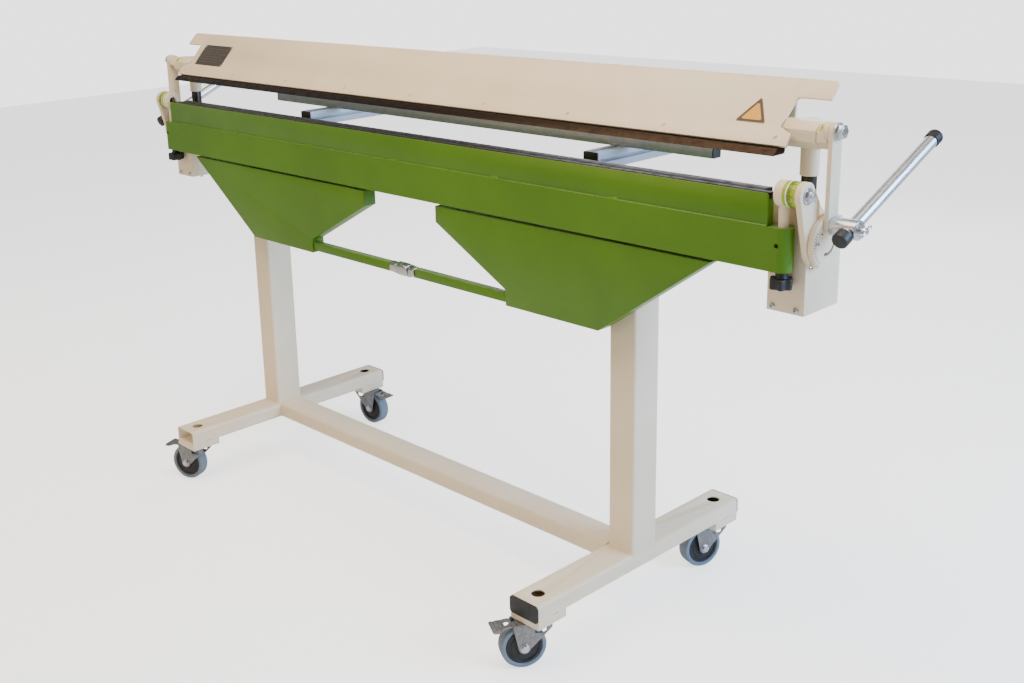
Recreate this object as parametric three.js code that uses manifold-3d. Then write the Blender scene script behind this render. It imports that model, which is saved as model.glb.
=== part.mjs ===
// Mobile manual sheet metal brake (box-and-truss folder) on a castored stand.
// Units are millimetres. X runs along the bending line, Y from the operator to the back, Z up.
// The origin is on the floor, under the middle of the machine's plan outline.
import * as THREE from 'three';
import { mergeVertices } from 'three/addons/utils/BufferGeometryUtils.js';
import Module from 'manifold-3d';

const wasm = await Module();
wasm.setup();

// ---------------------------------------------------------------- driving dimensions
const bladeLength = 2040; // clamping and folding blades
const bendHeight = 1029; // bending line above the floor
const bendY = -62; // bending line in front of the stand's centre plane
const opening = 63; // clamp nose above the bending line when open
const clampGap = 0.6; // nose to lower blade when closed, metal thickness not counted
const fit = 0.3; // gap between touching pieces
const slack = 0.4; // extra radius of a hole round a moving shaft

// stand
const standWidth = 1404; // over the outer faces of the feet
const footWidth = 80;
const footHeight = 40;
const footLength = 696;
const footCentreY = 4;
const footWall = 3;
const uprightWidth = 70;
const uprightDepth = 82;
const uprightWall = 4;
const beamWidth = 82;
const beamHeight = 40;
const skirtLength = 84;
const skirtDepth = 15;
const castorInset = 41;
const castorHeadings = { right_front: -120, right_back: -108, left_front: -158, left_back: 5 };
const accessHole = 30;
const capThickness = 4;

// castors
const wheelDiameter = 100;
const wheelWidth = 32;
const castorTrail = 36;
const forkPlate = 3;
const pedalLength = 46;
const axleDiameter = 12;
const headDiameter = 54;
const pedalHalf = 24;

// lower beam, support plates and truss rods
const lowerBeamWall = 4;
const lowerBladeDepth = 32;
const lowerBladeHeight = 20;
const lowerBeamBottom = 882;
const lowerBeamBack = 34;
const plateWall = 3;
const plateFront = -80.5;
const plateBottom = 678;
const plateTop = 877.5;
const plateInner = 133;
const plateRodX = 361;
const plateOuterBottom = 633;
const plateOuterTop = 912;
const rodSize = 22;
const rodY = -66;
const rodZ = plateBottom + 17;
const turnbuckleLength = 92;
const turnbuckleFlats = 32;

// folding beam
const boxFront = -84;
const boxBottom = 884;
const boxTop = 967;
const boxWall = 3;
const stripWall = 3;
const hangerDiameter = 20;
const beamSetting = 4; // travel of the folding beam down its hanger rods
const knobDiameter = 46;
const knobHeight = 22;
const shankDiameter = 12;

// pivots at the ends
const drumDiameter = 48;
const drumBore = 22;
const pivotPin = 16;
const housingWall = 3;
const housingFront = -38;
const housingBack = 79;
const housingBottom = 796;
const housingShoulder = 968;
const housingCrown = 1002;
const armThickness = 11.5;
const armTopRadius = 25;

// clamping linkage
const crankY = -10;
const crankZ = 937;
const discThickness = 12;
const pinDiameter = 26;
const shaftDiameter = 30;
const strapWidth = 33;
const strapThickness = 9;
const bossLength = 9;
const hubDiameter = 37;
const hubLength = 53;
const leverDiameter = 25;
const leverTilt = 23.5; // degrees above the horizontal, pointing back
const leverBelow = 30;
const leverAbove = 318;
const gripDiameter = 30;
const gripLength = 22;

// clamping beam
const plateThickness = 5;
const slopeWidth = 102.2; // the sloped plate seen from above
const slopeHeight = 109.2;
const clampFootY = -41;
const noseDepth = 36;
const liftBar = 50; // across the flats of the octagonal lift arms
const liftBarY = 10;
const notchTop = 41; // the plate's outer notches, measured down the slope
const notchBottom = 111;
const notchRound = 8;
const guideY = 24;
const guideDiameter = 35;
const guideWall = 2.5;
const guideLength = 103.5;
const guideSpare = 1.6; // above the post when the clamp is closed
const postBottom = 816;

// back gauge
const railX = 513;
const railSize = 40;
const railTop = 1030;
const gaugeDepth = 26;
const gaugeHeight = 21;
const gaugeFront = 124;

// ---------------------------------------------------------------- values that follow
const half = bladeLength / 2;
const travel = opening - clampGap;
const crankThrow = travel / 2;
const hubZ = crankZ + crankThrow;
const discDiameter = 2 * (crankThrow + 16.3);
const footTop = wheelDiameter + 62;
const forkReach = wheelDiameter / 2 + 8;
const pedalReach = forkReach + pedalLength;
const boxBack = -uprightDepth / 2 - 2 * fit;
const plateBack = -uprightDepth / 2 - 2 * fit;
const stripHalf = half + 14;
const stripFront = boxFront + 3.5;
const hangerX = half + 36;
const drumInner = half + 26;
const housingInner = half - 8;
const housingOuter = half + 71;
const noseHalf = half + 8;
const webHalf = half - 17;
const notchX = half - 6;
const clampTopHalf = half + 63;
const clampTabHalf = half + 20;
const liftBarEnd = half + 63;
const guideX = half + 31;
const gaugeHalf = half - 252;
const clampFootZ = bendHeight + opening + 16.6;
const clampTopY = clampFootY + slopeWidth;
const clampTopZ = clampFootZ + slopeHeight;
const strapPivotZ = bendHeight + opening + 48; // upper strap pivot when the clamp is open
const liftBarZ = strapPivotZ - 13.5;
const guideTop = liftBarZ + liftBar / 2;
const guideRoof = 2.5;
const postTop = guideTop - guideRoof - travel - guideSpare;
const footBottom = footTop - footHeight;
const uprightTop = lowerBeamBottom - fit;
const armInner = housingOuter + fit;
const armOuter = armInner + armThickness;
const discInner = armOuter + fit;
const discOuter = discInner + discThickness;
const strapInner = discOuter + fit;
const strapOuter = strapInner + strapThickness;
const hubStart = strapOuter + fit;
const leverX = hubStart + hubLength - 18;
const noseY = bendY;
const noseZ = bendHeight + opening;
const lowerBladeFront = bendY + fit;
const beamFace = boxBack + 4; // front face of the fixed beam behind the folding box
const rad = Math.PI / 180;
const castorFront = footCentreY - footLength / 2 + castorInset;
const castorBack = footCentreY + footLength / 2 - castorInset;
// The rails reach back as far as the right front pedal reaches forward.
const frontTurn = (180 + castorHeadings.right_front) * rad;
const railBack = pedalReach * Math.sin(frontTurn) + pedalHalf * Math.cos(frontTurn) - castorFront;

// ---------------------------------------------------------------- materials
function paint(name, color, roughness, metalness) {
  return new THREE.MeshStandardMaterial({ name, color, roughness, metalness });
}
const cream = paint('cream powder coat', 0xe6dcc8, 0.55, 0.0);
const green = paint('green powder coat', 0x6f9a12, 0.45, 0.0);
const bladeSteel = paint('oiled tool steel', 0x3a322c, 0.4, 0.8);
const zinc = paint('zinc plated steel', 0xb9bcc0, 0.3, 0.9);
const forkSteel = paint('castor steel', 0x7c7c80, 0.4, 0.8);
const blackPlastic = paint('black plastic', 0x17181a, 0.5, 0.0);
const greyRubber = paint('grey rubber', 0x7d8791, 0.75, 0.0);
const aluminium = paint('anodised aluminium', 0xb4bcc4, 0.35, 0.85);
const darkPost = paint('black oxide steel', 0x2c2a2a, 0.35, 0.7);

// ---------------------------------------------------------------- shape helpers
const alongX = new THREE.Matrix4().makeBasis(
  new THREE.Vector3(0, 1, 0), new THREE.Vector3(0, 0, 1), new THREE.Vector3(1, 0, 0));
const alongY = new THREE.Matrix4().makeBasis(
  new THREE.Vector3(1, 0, 0), new THREE.Vector3(0, 0, 1), new THREE.Vector3(0, -1, 0));

function outline(points) {
  return new THREE.Shape(points.map(([a, b]) => new THREE.Vector2(a, b)));
}

function roundedRect(a0, b0, a1, b1, r) {
  const s = new THREE.Shape();
  s.moveTo(a0 + r, b0);
  s.lineTo(a1 - r, b0).absarc(a1 - r, b0 + r, r, -Math.PI / 2, 0);
  s.lineTo(a1, b1 - r).absarc(a1 - r, b1 - r, r, 0, Math.PI / 2);
  s.lineTo(a0 + r, b1).absarc(a0 + r, b1 - r, r, Math.PI / 2, Math.PI);
  s.lineTo(a0, b0 + r).absarc(a0 + r, b0 + r, r, Math.PI, 1.5 * Math.PI);
  return s;
}

function extrude(shape, length, curveSegments = 5) {
  return new THREE.ExtrudeGeometry(shape, { depth: length, bevelEnabled: false, curveSegments });
}

// A Y-Z outline run from x0 to x1, an X-Z outline run from y0 to y1, an X-Y outline run from z0 to z1.
function runX(shape, x0, x1, curveSegments) {
  return extrude(shape, x1 - x0, curveSegments).applyMatrix4(alongX).translate(x0, 0, 0);
}
function runY(shape, y0, y1, curveSegments) {
  return extrude(shape, y1 - y0, curveSegments).applyMatrix4(alongY).translate(0, y1, 0);
}
function runZ(shape, z0, z1, curveSegments) {
  return extrude(shape, z1 - z0, curveSegments).translate(0, 0, z0);
}

function block(x0, x1, y0, y1, z0, z1) {
  return new THREE.BoxGeometry(x1 - x0, y1 - y0, z1 - z0)
    .translate((x0 + x1) / 2, (y0 + y1) / 2, (z0 + z1) / 2);
}

function rodAlongX(d, x0, x1, y, z, sides = 28) {
  return new THREE.CylinderGeometry(d / 2, d / 2, x1 - x0, sides)
    .rotateZ(Math.PI / 2).translate((x0 + x1) / 2, y, z);
}
function rodAlongY(d, y0, y1, x, z, sides = 24) {
  return new THREE.CylinderGeometry(d / 2, d / 2, y1 - y0, sides).translate(x, (y0 + y1) / 2, z);
}
function rodAlongZ(d, z0, z1, x, y, sides = 28) {
  return new THREE.CylinderGeometry(d / 2, d / 2, z1 - z0, sides)
    .rotateX(Math.PI / 2).translate(x, y, (z0 + z1) / 2);
}

function solid(geometry) {
  const bare = geometry.clone();
  bare.deleteAttribute('normal');
  bare.deleteAttribute('uv');
  const merged = mergeVertices(bare);
  return new wasm.Manifold(new wasm.Mesh({
    numProp: 3,
    vertProperties: new Float32Array(merged.attributes.position.array),
    triVerts: new Uint32Array(merged.index.array),
  }));
}

function geometryOf(body) {
  const mesh = body.getMesh();
  const g = new THREE.BufferGeometry();
  g.setAttribute('position', new THREE.BufferAttribute(new Float32Array(mesh.vertProperties), 3));
  g.setIndex(new THREE.BufferAttribute(new Uint32Array(mesh.triVerts), 1));
  return g;
}

// Joins the first list of geometries and cuts the second list away.
function shaped(joined, cut = []) {
  let body = solid(joined[0]);
  for (const piece of joined.slice(1)) body = body.add(solid(piece));
  for (const piece of cut) body = body.subtract(solid(piece));
  return geometryOf(body);
}

const machine = new THREE.Group();
machine.name = 'sheet_metal_brake';

function place(name, geometry, material, parent = machine) {
  const mesh = new THREE.Mesh(geometry, material.clone());
  mesh.name = name;
  parent.add(mesh);
  return mesh;
}

// Right-hand piece as drawn, left-hand piece as its mirror image across the middle plane.
function placePair(name, geometry, material) {
  place(`${name}_right`, geometry, material);
  place(`${name}_left`, geometry, material).scale.x = -1;
}

// ---------------------------------------------------------------- stand
function standSide() {
  const x1 = standWidth / 2;
  const x0 = x1 - footWidth;
  const y0 = footCentreY - footLength / 2;
  const y1 = footCentreY + footLength / 2;
  const foot = roundedRect(x0, footBottom, x1, footTop, 7);
  const bore = block(x0 + footWall, x1 - footWall, y0 - 1, y1 + 1, footBottom + footWall, footTop - footWall);
  const post = block(x1 - uprightWidth, x1, -uprightDepth / 2, uprightDepth / 2, footTop - 1, uprightTop);
  const postBore = block(x1 - uprightWidth + uprightWall, x1 - uprightWall,
    -uprightDepth / 2 + uprightWall, uprightDepth / 2 - uprightWall, footTop + 1, uprightTop + 1);
  const joined = [runY(foot, y0, y1), post];
  const cut = [bore, postBore];
  for (const end of [-1, 1]) {
    const tip = end < 0 ? y0 : y1;
    const inner = tip - end * skirtLength;
    const low = footBottom - skirtDepth;
    const [a, b] = [Math.min(tip, inner), Math.max(tip, inner)];
    joined.push(block(x0, x1, a, b, low, footBottom + 8));
    cut.push(block(x0 + footWall, x1 - footWall, a + (end < 0 ? footWall : -1), b + (end < 0 ? 1 : -footWall),
      low - 1, footBottom));
    const holeY = tip - end * castorInset;
    cut.push(rodAlongZ(accessHole, footTop - footWall - 1, footTop + 1, (x0 + x1) / 2, holeY));
  }
  cut.push(bore);
  return shaped(joined, cut);
}

function crossBeam() {
  const end = standWidth / 2 - footWidth - fit;
  const top = footTop;
  const outer = roundedRect(-uprightDepth / 2, top - beamHeight, -uprightDepth / 2 + beamWidth, top, 7);
  const wall = footWall;
  const inner = block(-end - 1, end + 1, -uprightDepth / 2 + wall, -uprightDepth / 2 + beamWidth - wall,
    top - beamHeight + wall, top - wall);
  return shaped([runX(outer, -end, end)], [inner]);
}

function footCap() {
  const w = footWidth / 2;
  const plate = roundedRect(-w, -footHeight / 2, w, footHeight / 2, 7);
  const plug = roundedRect(-w + footWall + fit, -footHeight / 2 + footWall + fit,
    w - footWall - fit, footHeight / 2 - footWall - fit, 2);
  return shaped([runY(plate, -capThickness, 0), runY(plug, -1, 16)]);
}

// ---------------------------------------------------------------- castors
// Drawn about the swivel axis, trailing to +X.
const axleZ = wheelDiameter / 2;
const forkTop = wheelDiameter + 5.5;
const forkInside = wheelWidth / 2 + 2.5;

function castorFork() {
  const cheek = new THREE.Shape();
  cheek.moveTo(-25, forkTop).lineTo(forkReach, forkTop).lineTo(forkReach + 2, forkTop - 12);
  cheek.lineTo(castorTrail + 13, axleZ + 2);
  cheek.absarc(castorTrail, axleZ, 13, 0, -Math.PI, true);
  cheek.lineTo(-25, forkTop - 14);
  const out = forkInside + forkPlate;
  const crown = block(-25, forkReach - 6, -out, out, forkTop - forkPlate, forkTop);
  const head = rodAlongZ(headDiameter, forkTop - 1, footBottom - fit, 0, 0);
  return shaped([
    runY(cheek, -out, -forkInside), runY(cheek, forkInside, out), crown, head,
    rodAlongY(axleDiameter, -out - 5, out + 5, castorTrail, axleZ),
  ]);
}

function castorWheel() {
  const r = wheelDiameter / 2;
  const w = wheelWidth / 2;
  const bore = axleDiameter / 2 + slack;
  const profile = [
    [bore, -w - 1], [bore + 7, -w - 1], [bore + 8, -w + 4], [r * 0.76, -w + 4], [r * 0.8, -w],
    [r * 0.93, -w], [r, -w + 5], [r, w - 5], [r * 0.93, w], [r * 0.8, w], [r * 0.76, w - 4],
    [bore + 8, w - 4], [bore + 7, w + 1], [bore, w + 1], [bore, -w - 1],
  ].map(([a, b]) => new THREE.Vector2(a, b));
  return new THREE.LatheGeometry(profile, 36).translate(castorTrail, 0, axleZ);
}

// Pressed pedal: a side outline and a plan outline, both from the fork's nose, meet in one body.
function brakePedal() {
  const out = forkInside + forkPlate - 3;
  const side = outline([
    [1.8, -8.5], [16, -11.5], [38, -15.5], [pedalLength, -12.5], [pedalLength, -8.5], [26, -5.5],
    [14, -2.5], [1.8, -2.5],
  ]);
  const plan = outline([
    [1, -out], [22, -out], [30, -pedalHalf - 3], [pedalLength + 1, -pedalHalf],
    [pedalLength + 1, pedalHalf], [30, pedalHalf + 3], [22, out], [1, out],
  ]);
  const body = solid(runY(side, -2 * pedalHalf, 2 * pedalHalf)).intersect(solid(runZ(plan, -20, 0)));
  return geometryOf(body).translate(forkReach, 0, forkTop);
}

function castor(name, x, y, heading) {
  const group = new THREE.Group();
  group.position.set(x, y, 0);
  group.rotation.z = heading * rad;
  machine.add(group);
  place(`castor_fork_${name}`, castorFork(), forkSteel, group);
  place(`castor_wheel_${name}`, castorWheel(), greyRubber, group);
  place(`brake_pedal_${name}`, brakePedal(), zinc, group);
}

// ---------------------------------------------------------------- lower beam
function lowerBeam() {
  const end = housingInner - fit;
  const bladeBack = lowerBladeFront + lowerBladeDepth;
  const seat = bendHeight - lowerBladeHeight - fit;
  const outer = outline([
    [beamFace, lowerBeamBottom], [lowerBeamBack, lowerBeamBottom], [lowerBeamBack, railTop - railSize - 6],
    [bladeBack + 4, seat + 4], [bladeBack + fit, seat + 4], [bladeBack + fit, seat],
    [lowerBladeFront + 1, seat], [lowerBladeFront + 1, boxTop + 14], [beamFace, boxTop + 4],
  ]);
  const w = lowerBeamWall;
  const inner = outline([
    [beamFace + w, lowerBeamBottom + w], [lowerBeamBack - w, lowerBeamBottom + w],
    [lowerBeamBack - w, railTop - railSize - 6 - w], [bladeBack, seat - w],
    [lowerBladeFront + 1 + w, seat - w], [lowerBladeFront + 1 + w, boxTop + 16], [beamFace + w, boxTop + 6],
  ]);
  return shaped([runX(outer, -end, end)], [runX(inner, -end - 1, end + 1)]);
}

function lowerBlade() {
  return block(-half + 10, half - 10, lowerBladeFront, lowerBladeFront + lowerBladeDepth,
    bendHeight - lowerBladeHeight, bendHeight);
}

// Trapezoid truss plate with its edges folded back to the upright.
function supportPlate() {
  const rodSeat = plateBottom + 37;
  const innerTop = 838;
  const pts = [
    [plateRodX, plateBottom], [plateOuterBottom, plateBottom], [plateOuterTop, plateTop],
    [plateInner, plateTop], [plateInner, innerTop], [plateRodX, rodSeat],
  ];
  const w = plateWall;
  const inner = [
    [plateRodX + w, plateBottom + w], [plateOuterBottom - w, plateBottom + w],
    [plateOuterTop - 3 * w, plateTop - w], [plateInner + w, plateTop - w],
    [plateInner + w, innerTop + w], [plateRodX + w, rodSeat + w],
  ];
  return shaped([runY(outline(pts), plateFront, plateBack)],
    [runY(outline(inner), plateFront + w, plateBack + 1)]);
}

function tensionRod() {
  const h = rodSize / 2;
  return block(turnbuckleLength / 2 + fit, plateRodX - fit, rodY - h, rodY + h, rodZ - h, rodZ + h);
}

function turnbuckle() {
  const end = turnbuckleLength / 2;
  const barrel = 22;
  const hex = turnbuckleFlats / Math.sqrt(3) * 2;
  const body = rodAlongX(hex, -barrel, barrel, rodY, rodZ, 6);
  const nut = (x0, x1) => rodAlongX(hex * 0.86, x0, x1, rodY, rodZ, 6);
  const thread = rodAlongX(20, -end + 1, end - 1, rodY, rodZ);
  return shaped([body, thread, nut(-end, -barrel - 2), nut(barrel + 2, end)]);
}

// ---------------------------------------------------------------- end housing, arm plate and guide post
function housing() {
  const w = housingWall;
  const back = housingBack;
  const side = outline([
    [housingFront, housingBottom], [back, housingBottom], [back, housingShoulder],
    [lowerBeamBack, housingShoulder], [0, housingCrown], [housingFront, housingCrown],
  ]);
  const hollow = outline([
    [housingFront + w, housingBottom - 1], [back + 1, housingBottom - 1], [back + 1, housingShoulder - w],
    [lowerBeamBack - w, housingShoulder - w], [-w, housingCrown - w], [housingFront + w, housingCrown - w],
  ]);
  return shaped(
    [runX(side, housingInner, housingOuter)],
    [
      runX(hollow, housingInner + w, housingOuter - w),
      rodAlongX(shaftDiameter + 2 * slack, housingInner - 1, housingOuter + 1, crankY, crankZ),
      rodAlongZ(guideDiameter + 6, 900, housingCrown + 1, guideX, guideY),
    ],
  );
}

function guidePost() {
  const d = guideDiameter - 2 * guideWall - 2 * slack;
  const flange = block(guideX - 26, guideX + 26, guideY - 22, guideY + 22, postBottom - 8, postBottom);
  const hanger = block(housingInner + housingWall + fit, housingOuter - housingWall - fit,
    guideY - 14, guideY + 14, 868, 880);
  return shaped([rodAlongZ(d, postBottom - 4, postTop, guideX, guideY), flange, hanger]);
}

// Teardrop plate: one round end at the bending axis, the other round the crank disc.
function armPlate() {
  const low = discDiameter / 2 + 3;
  const s = new THREE.Shape();
  s.moveTo(bendY - armTopRadius, bendHeight);
  s.absarc(bendY, bendHeight, armTopRadius, Math.PI, 0.25 * Math.PI, true);
  s.lineTo(-21, 1011).lineTo(-21, crankZ + low - 2);
  s.absarc(crankY, crankZ, low, 0.56 * Math.PI, -0.95 * Math.PI, true);
  s.lineTo(bendY - armTopRadius, bendHeight);
  return shaped([runX(s, armInner, armOuter, 10)],
    [rodAlongX(shaftDiameter + 2 * slack, armInner - 1, armOuter + 1, crankY, crankZ),
      rodAlongX(pivotPin + 2 * slack, armInner - 1, armOuter + 1, bendY, bendHeight)]);
}

// ---------------------------------------------------------------- folding beam
function foldingBeam() {
  const r = (boxBack - boxFront) / 2;
  const mid = (boxBack + boxFront) / 2;
  const box = roundedRect(boxFront, boxBottom, boxBack, boxTop, 4);
  const hollow = block(-hangerX + r, hangerX - r, boxFront + boxWall, boxBack - boxWall,
    boxBottom + boxWall, boxTop - boxWall);
  const strip = block(-stripHalf, stripHalf, stripFront, stripFront + stripWall, boxTop - 1, bendHeight - 1);
  const joined = [runX(box, -hangerX, hangerX, 3), strip];
  const cut = [hollow];
  for (const s of [-1, 1]) {
    joined.push(rodAlongZ(2 * r, boxBottom, boxTop, s * hangerX, mid, 32));
    cut.push(rodAlongZ(hangerDiameter + 2 * slack, boxBottom + 14, boxTop + 1, s * hangerX, bendY));
    cut.push(rodAlongZ(shankDiameter + 2 * slack, boxBottom - 1, boxBottom + 15, s * hangerX, bendY));
    cut.push(rodAlongY(9, boxFront - 1, boxFront + 8, s * hangerX, boxTop - 33, 12));
  }
  for (const s of [-1, 1]) cut.push(block(s * 500 - 20, s * 500 + 20, -60, boxBack + 1, 910, 930));
  return shaped(joined, cut);
}

function foldingBlade() {
  const y0 = stripFront + stripWall + fit;
  return block(-stripHalf, stripHalf, y0, bendY - fit, boxTop + fit, bendHeight);
}

// Turning drum on the bending axis, with the pivot pin that passes through the arm plate.
function drum() {
  const neck = bendHeight - drumDiameter / 2 + 5;
  return shaped(
    [rodAlongX(drumDiameter, drumInner, housingOuter, bendY, bendHeight, 40),
      rodAlongX(pivotPin, housingOuter - 1, armOuter, bendY, bendHeight)],
    [rodAlongX(drumBore, drumInner - 1, drumInner + 24, bendY, bendHeight),
      rodAlongZ(hangerDiameter + 2 * fit, bendHeight - drumDiameter, neck + fit, hangerX, bendY)],
  );
}

function hangerRod() {
  const top = bendHeight - drumDiameter / 2 + 5;
  return rodAlongZ(hangerDiameter, boxBottom + 14 + beamSetting + 1, top, hangerX, bendY, 24);
}

function starKnob() {
  const s = new THREE.Shape();
  const lobes = 6;
  const r = knobDiameter / 2;
  const steps = 48;
  for (let i = 0; i < steps; i += 1) {
    const a = (i / steps) * 2 * Math.PI;
    const radius = r - 2.6 + 2.6 * Math.cos(lobes * a);
    const [x, y] = [hangerX + radius * Math.cos(a), bendY + radius * Math.sin(a)];
    if (i === 0) s.moveTo(x, y);
    else s.lineTo(x, y);
  }
  const top = boxBottom - 13;
  return shaped([
    runZ(s, top - knobHeight, top), rodAlongZ(24, top - 1, boxBottom - fit, hangerX, bendY),
    rodAlongZ(shankDiameter, boxBottom - 2, boxBottom + 13, hangerX, bendY)]);
}

// ---------------------------------------------------------------- clamping beam
const slopeLength = Math.hypot(slopeWidth, slopeHeight);
const slopeY = -slopeWidth / slopeLength;
const slopeZ = -slopeHeight / slopeLength;

// Lays an outline in x and distance down the slope onto the slope, from depth a to depth b behind its face.
function onSlope(points, a, b) {
  const across = new THREE.Vector3(1, 0, 0);
  const down = new THREE.Vector3(0, slopeY, slopeZ);
  const inward = new THREE.Vector3().crossVectors(across, down);
  const turn = new THREE.Matrix4().makeBasis(across, down, inward);
  return extrude(outline(points), b - a).translate(0, 0, a).applyMatrix4(turn)
    .translate(0, clampTopY, clampTopZ);
}

// Rounded inner corner of a notch.
function notchCorner() {
  return Array.from({ length: 5 }, (_, i) => {
    const a = (i / 4) * Math.PI / 2;
    return [notchX + notchRound * (1 - Math.sin(a)), notchTop + notchRound * (1 - Math.cos(a))];
  });
}

// Sloped cover plate with a notch round each lift arm.
function slopedPlate() {
  const right = [
    [clampTopHalf - 6, 0], [clampTopHalf, 8], [clampTopHalf, notchTop], ...notchCorner(),
    [notchX - 4, notchBottom - 2], [clampTabHalf - 3, notchBottom + 11], [clampTabHalf, slopeLength],
  ];
  const left = right.map(([x, s]) => [-x, s]).reverse();
  return onSlope([...right, ...left].reverse(), 0, plateThickness);
}

function clampBeam() {
  const t = plateThickness;
  const floorZ = clampFootZ + 22;
  const back = clampTopY - 2;
  const frontAt = (z) => clampTopY + (slopeY / slopeZ) * (z - clampTopZ);
  const outer = outline([
    [frontAt(clampTopZ) - 3, clampTopZ - 3], [back - 12, floorZ], [clampFootY + 22, clampFootZ + 4],
    [clampFootY + 4, clampFootZ + 4],
  ]);
  const inner = outline([
    [frontAt(clampTopZ - 18) + 2 + t, clampTopZ - 22], [back - 12 - t, floorZ + t],
    [clampFootY + 28, clampFootZ + 4 + t], [clampFootY + 14 + t, clampFootZ + 4 + t],
  ]);
  return shaped([slopedPlate(), runX(outer, -webHalf, webHalf)], [runX(inner, -webHalf - 1, webHalf + 1)]);
}

function clampBlade() {
  const top = clampFootZ + 4 - fit;
  const bevel = top - noseZ;
  const neck = (z) => clampFootY - plateThickness * slopeZ + 2 * fit
    + (slopeY / slopeZ) * (z - clampFootZ - plateThickness * slopeY);
  const neckBack = neck(top) + 4;
  const s = outline([
    [noseY, noseZ], [noseY + noseDepth, noseZ], [noseY + noseDepth + 3, noseZ + 4],
    [noseY + noseDepth + 3, top - 8], [neckBack, top - 8], [neckBack, top], [neck(top), top],
    [neck(top - 8), top - 8], [noseY + bevel - 6, top - 8],
  ]);
  return runX(s, -noseHalf, noseHalf);
}

function octagon(acrossFlats, y, z) {
  const r = acrossFlats / 2 / Math.cos(Math.PI / 8);
  const pts = Array.from({ length: 8 }, (_, i) => {
    const a = (i + 0.5) * Math.PI / 4;
    return [y + r * Math.cos(a), z + r * Math.sin(a)];
  });
  return outline(pts);
}

// Octagonal arm that carries the strap, with the guide sleeve welded behind it.
function liftArm() {
  const arm = runX(octagon(liftBar, liftBarY, liftBarZ), webHalf + fit, liftBarEnd);
  const sleeve = rodAlongZ(guideDiameter, guideTop - guideLength, guideTop, guideX, guideY);
  const bore = rodAlongZ(guideDiameter - 2 * guideWall, guideTop - guideLength - 1, guideTop - guideRoof,
    guideX, guideY);
  const relief = onSlope([
    [webHalf, notchTop - liftBar], [notchX + fit, notchTop - liftBar], [notchX + fit, notchBottom - 3],
    [clampTabHalf + fit, notchBottom + 8], [clampTabHalf + fit, slopeLength + liftBar],
    [webHalf, slopeLength + liftBar],
  ], -2 * liftBar, plateThickness + fit);
  return shaped([arm, sleeve], [bore, relief]);
}

// Collar on the end of the lift arm, with the off-centre boss the strap hangs from.
function heightAdjuster() {
  const end = strapInner - fit;
  return shaped([
    runX(octagon(liftBar - 4, liftBarY, liftBarZ), liftBarEnd + fit, end - bossLength),
    rodAlongX(strapWidth, liftBarEnd + fit, end, crankY, strapPivotZ)]);
}

// ---------------------------------------------------------------- strap, crank and lever
function strap() {
  const r = strapWidth / 2;
  const s = new THREE.Shape();
  s.moveTo(crankY + r, hubZ);
  s.lineTo(crankY + r, strapPivotZ).absarc(crankY, strapPivotZ, r, 0, Math.PI);
  s.lineTo(crankY - r, hubZ).absarc(crankY, hubZ, r, Math.PI, 2 * Math.PI);
  return shaped([runX(s, strapInner, strapOuter, 12)],
    [rodAlongX(pinDiameter + 2 * slack, strapInner - 1, strapOuter + 1, crankY, hubZ)]);
}

function crankDisc() {
  const hole = slotRing(23, 5, -0.62, 0.28);
  return shaped(
    [rodAlongX(discDiameter, discInner, discOuter, crankY, crankZ, 56),
      rodAlongX(pinDiameter, discOuter - 1, strapOuter, crankY, hubZ)],
    [hole, rodAlongX(shaftDiameter + fit, discInner - 1, discInner + 7, crankY, crankZ)],
  );
}

// Curved slot round the crank axis, from angle a to angle b (half turns), as a cutter.
function slotRing(radius, width, a, b) {
  const s = new THREE.Shape();
  const [r0, r1] = [radius - width / 2, radius + width / 2];
  s.absarc(crankY, crankZ, r1, a * Math.PI, b * Math.PI, false);
  s.absarc(crankY, crankZ, r0, b * Math.PI, a * Math.PI, true);
  return runX(s, discOuter - 6, discOuter + 1, 8);
}

function crossShaft() {
  const end = discInner + 6;
  return rodAlongX(shaftDiameter, -end, end, crankY, crankZ);
}

const leverAxis = new THREE.Vector3(0, Math.cos(leverTilt * rad), Math.sin(leverTilt * rad));

function rodAlongLever(d, from, to, sides = 24) {
  const turn = new THREE.Quaternion().setFromUnitVectors(new THREE.Vector3(0, 1, 0), leverAxis);
  return new THREE.CylinderGeometry(d / 2, d / 2, to - from, sides)
    .translate(0, (from + to) / 2, 0).applyQuaternion(turn).translate(leverX, crankY, hubZ);
}

function leverHub() {
  const x1 = hubStart + hubLength;
  const thumb = rodAlongLever(6, -16, 16, 12).translate(x1 + 12 - leverX, 0, 0);
  return shaped(
    [rodAlongX(hubDiameter, hubStart, x1, crankY, hubZ, 36),
      rodAlongX(9, x1 - 1, x1 + 15, crankY, hubZ, 16), thumb],
    [rodAlongLever(leverDiameter + 2 * slack, -40, 40)],
  );
}

function leverTube() {
  return shaped(
    [rodAlongLever(leverDiameter, -leverBelow, leverAbove)],
    [rodAlongLever(leverDiameter - 5, -leverBelow - 1, leverAbove + 1, 20)],
  );
}

function grip(from, to) {
  const bore = from < 0 ? [from + 4, to + 1] : [from - 1, to - 4];
  return shaped([rodAlongLever(gripDiameter, from, to)],
    [rodAlongLever(leverDiameter + 2 * fit, bore[0], bore[1])]);
}

// ---------------------------------------------------------------- back gauge
function gaugeRail() {
  const h = railSize / 2;
  const y0 = lowerBeamBack + fit;
  const y1 = railBack;
  const side = block(railX - h, railX + h, y0, y1, railTop - railSize, railTop);
  const g = 4;
  const deep = 10;
  const mid = railTop - h;
  const cut = [
    block(railX - g, railX + g, y0 - 1, y1 + 1, railTop - deep, railTop + 1),
    block(railX + h - deep, railX + h + 1, y0 - 1, y1 + 1, mid - g, mid + g),
    block(railX - h - 1, railX - h + deep, y0 - 1, y1 + 1, mid - g, mid + g),
  ];
  return shaped([side], cut);
}

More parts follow.
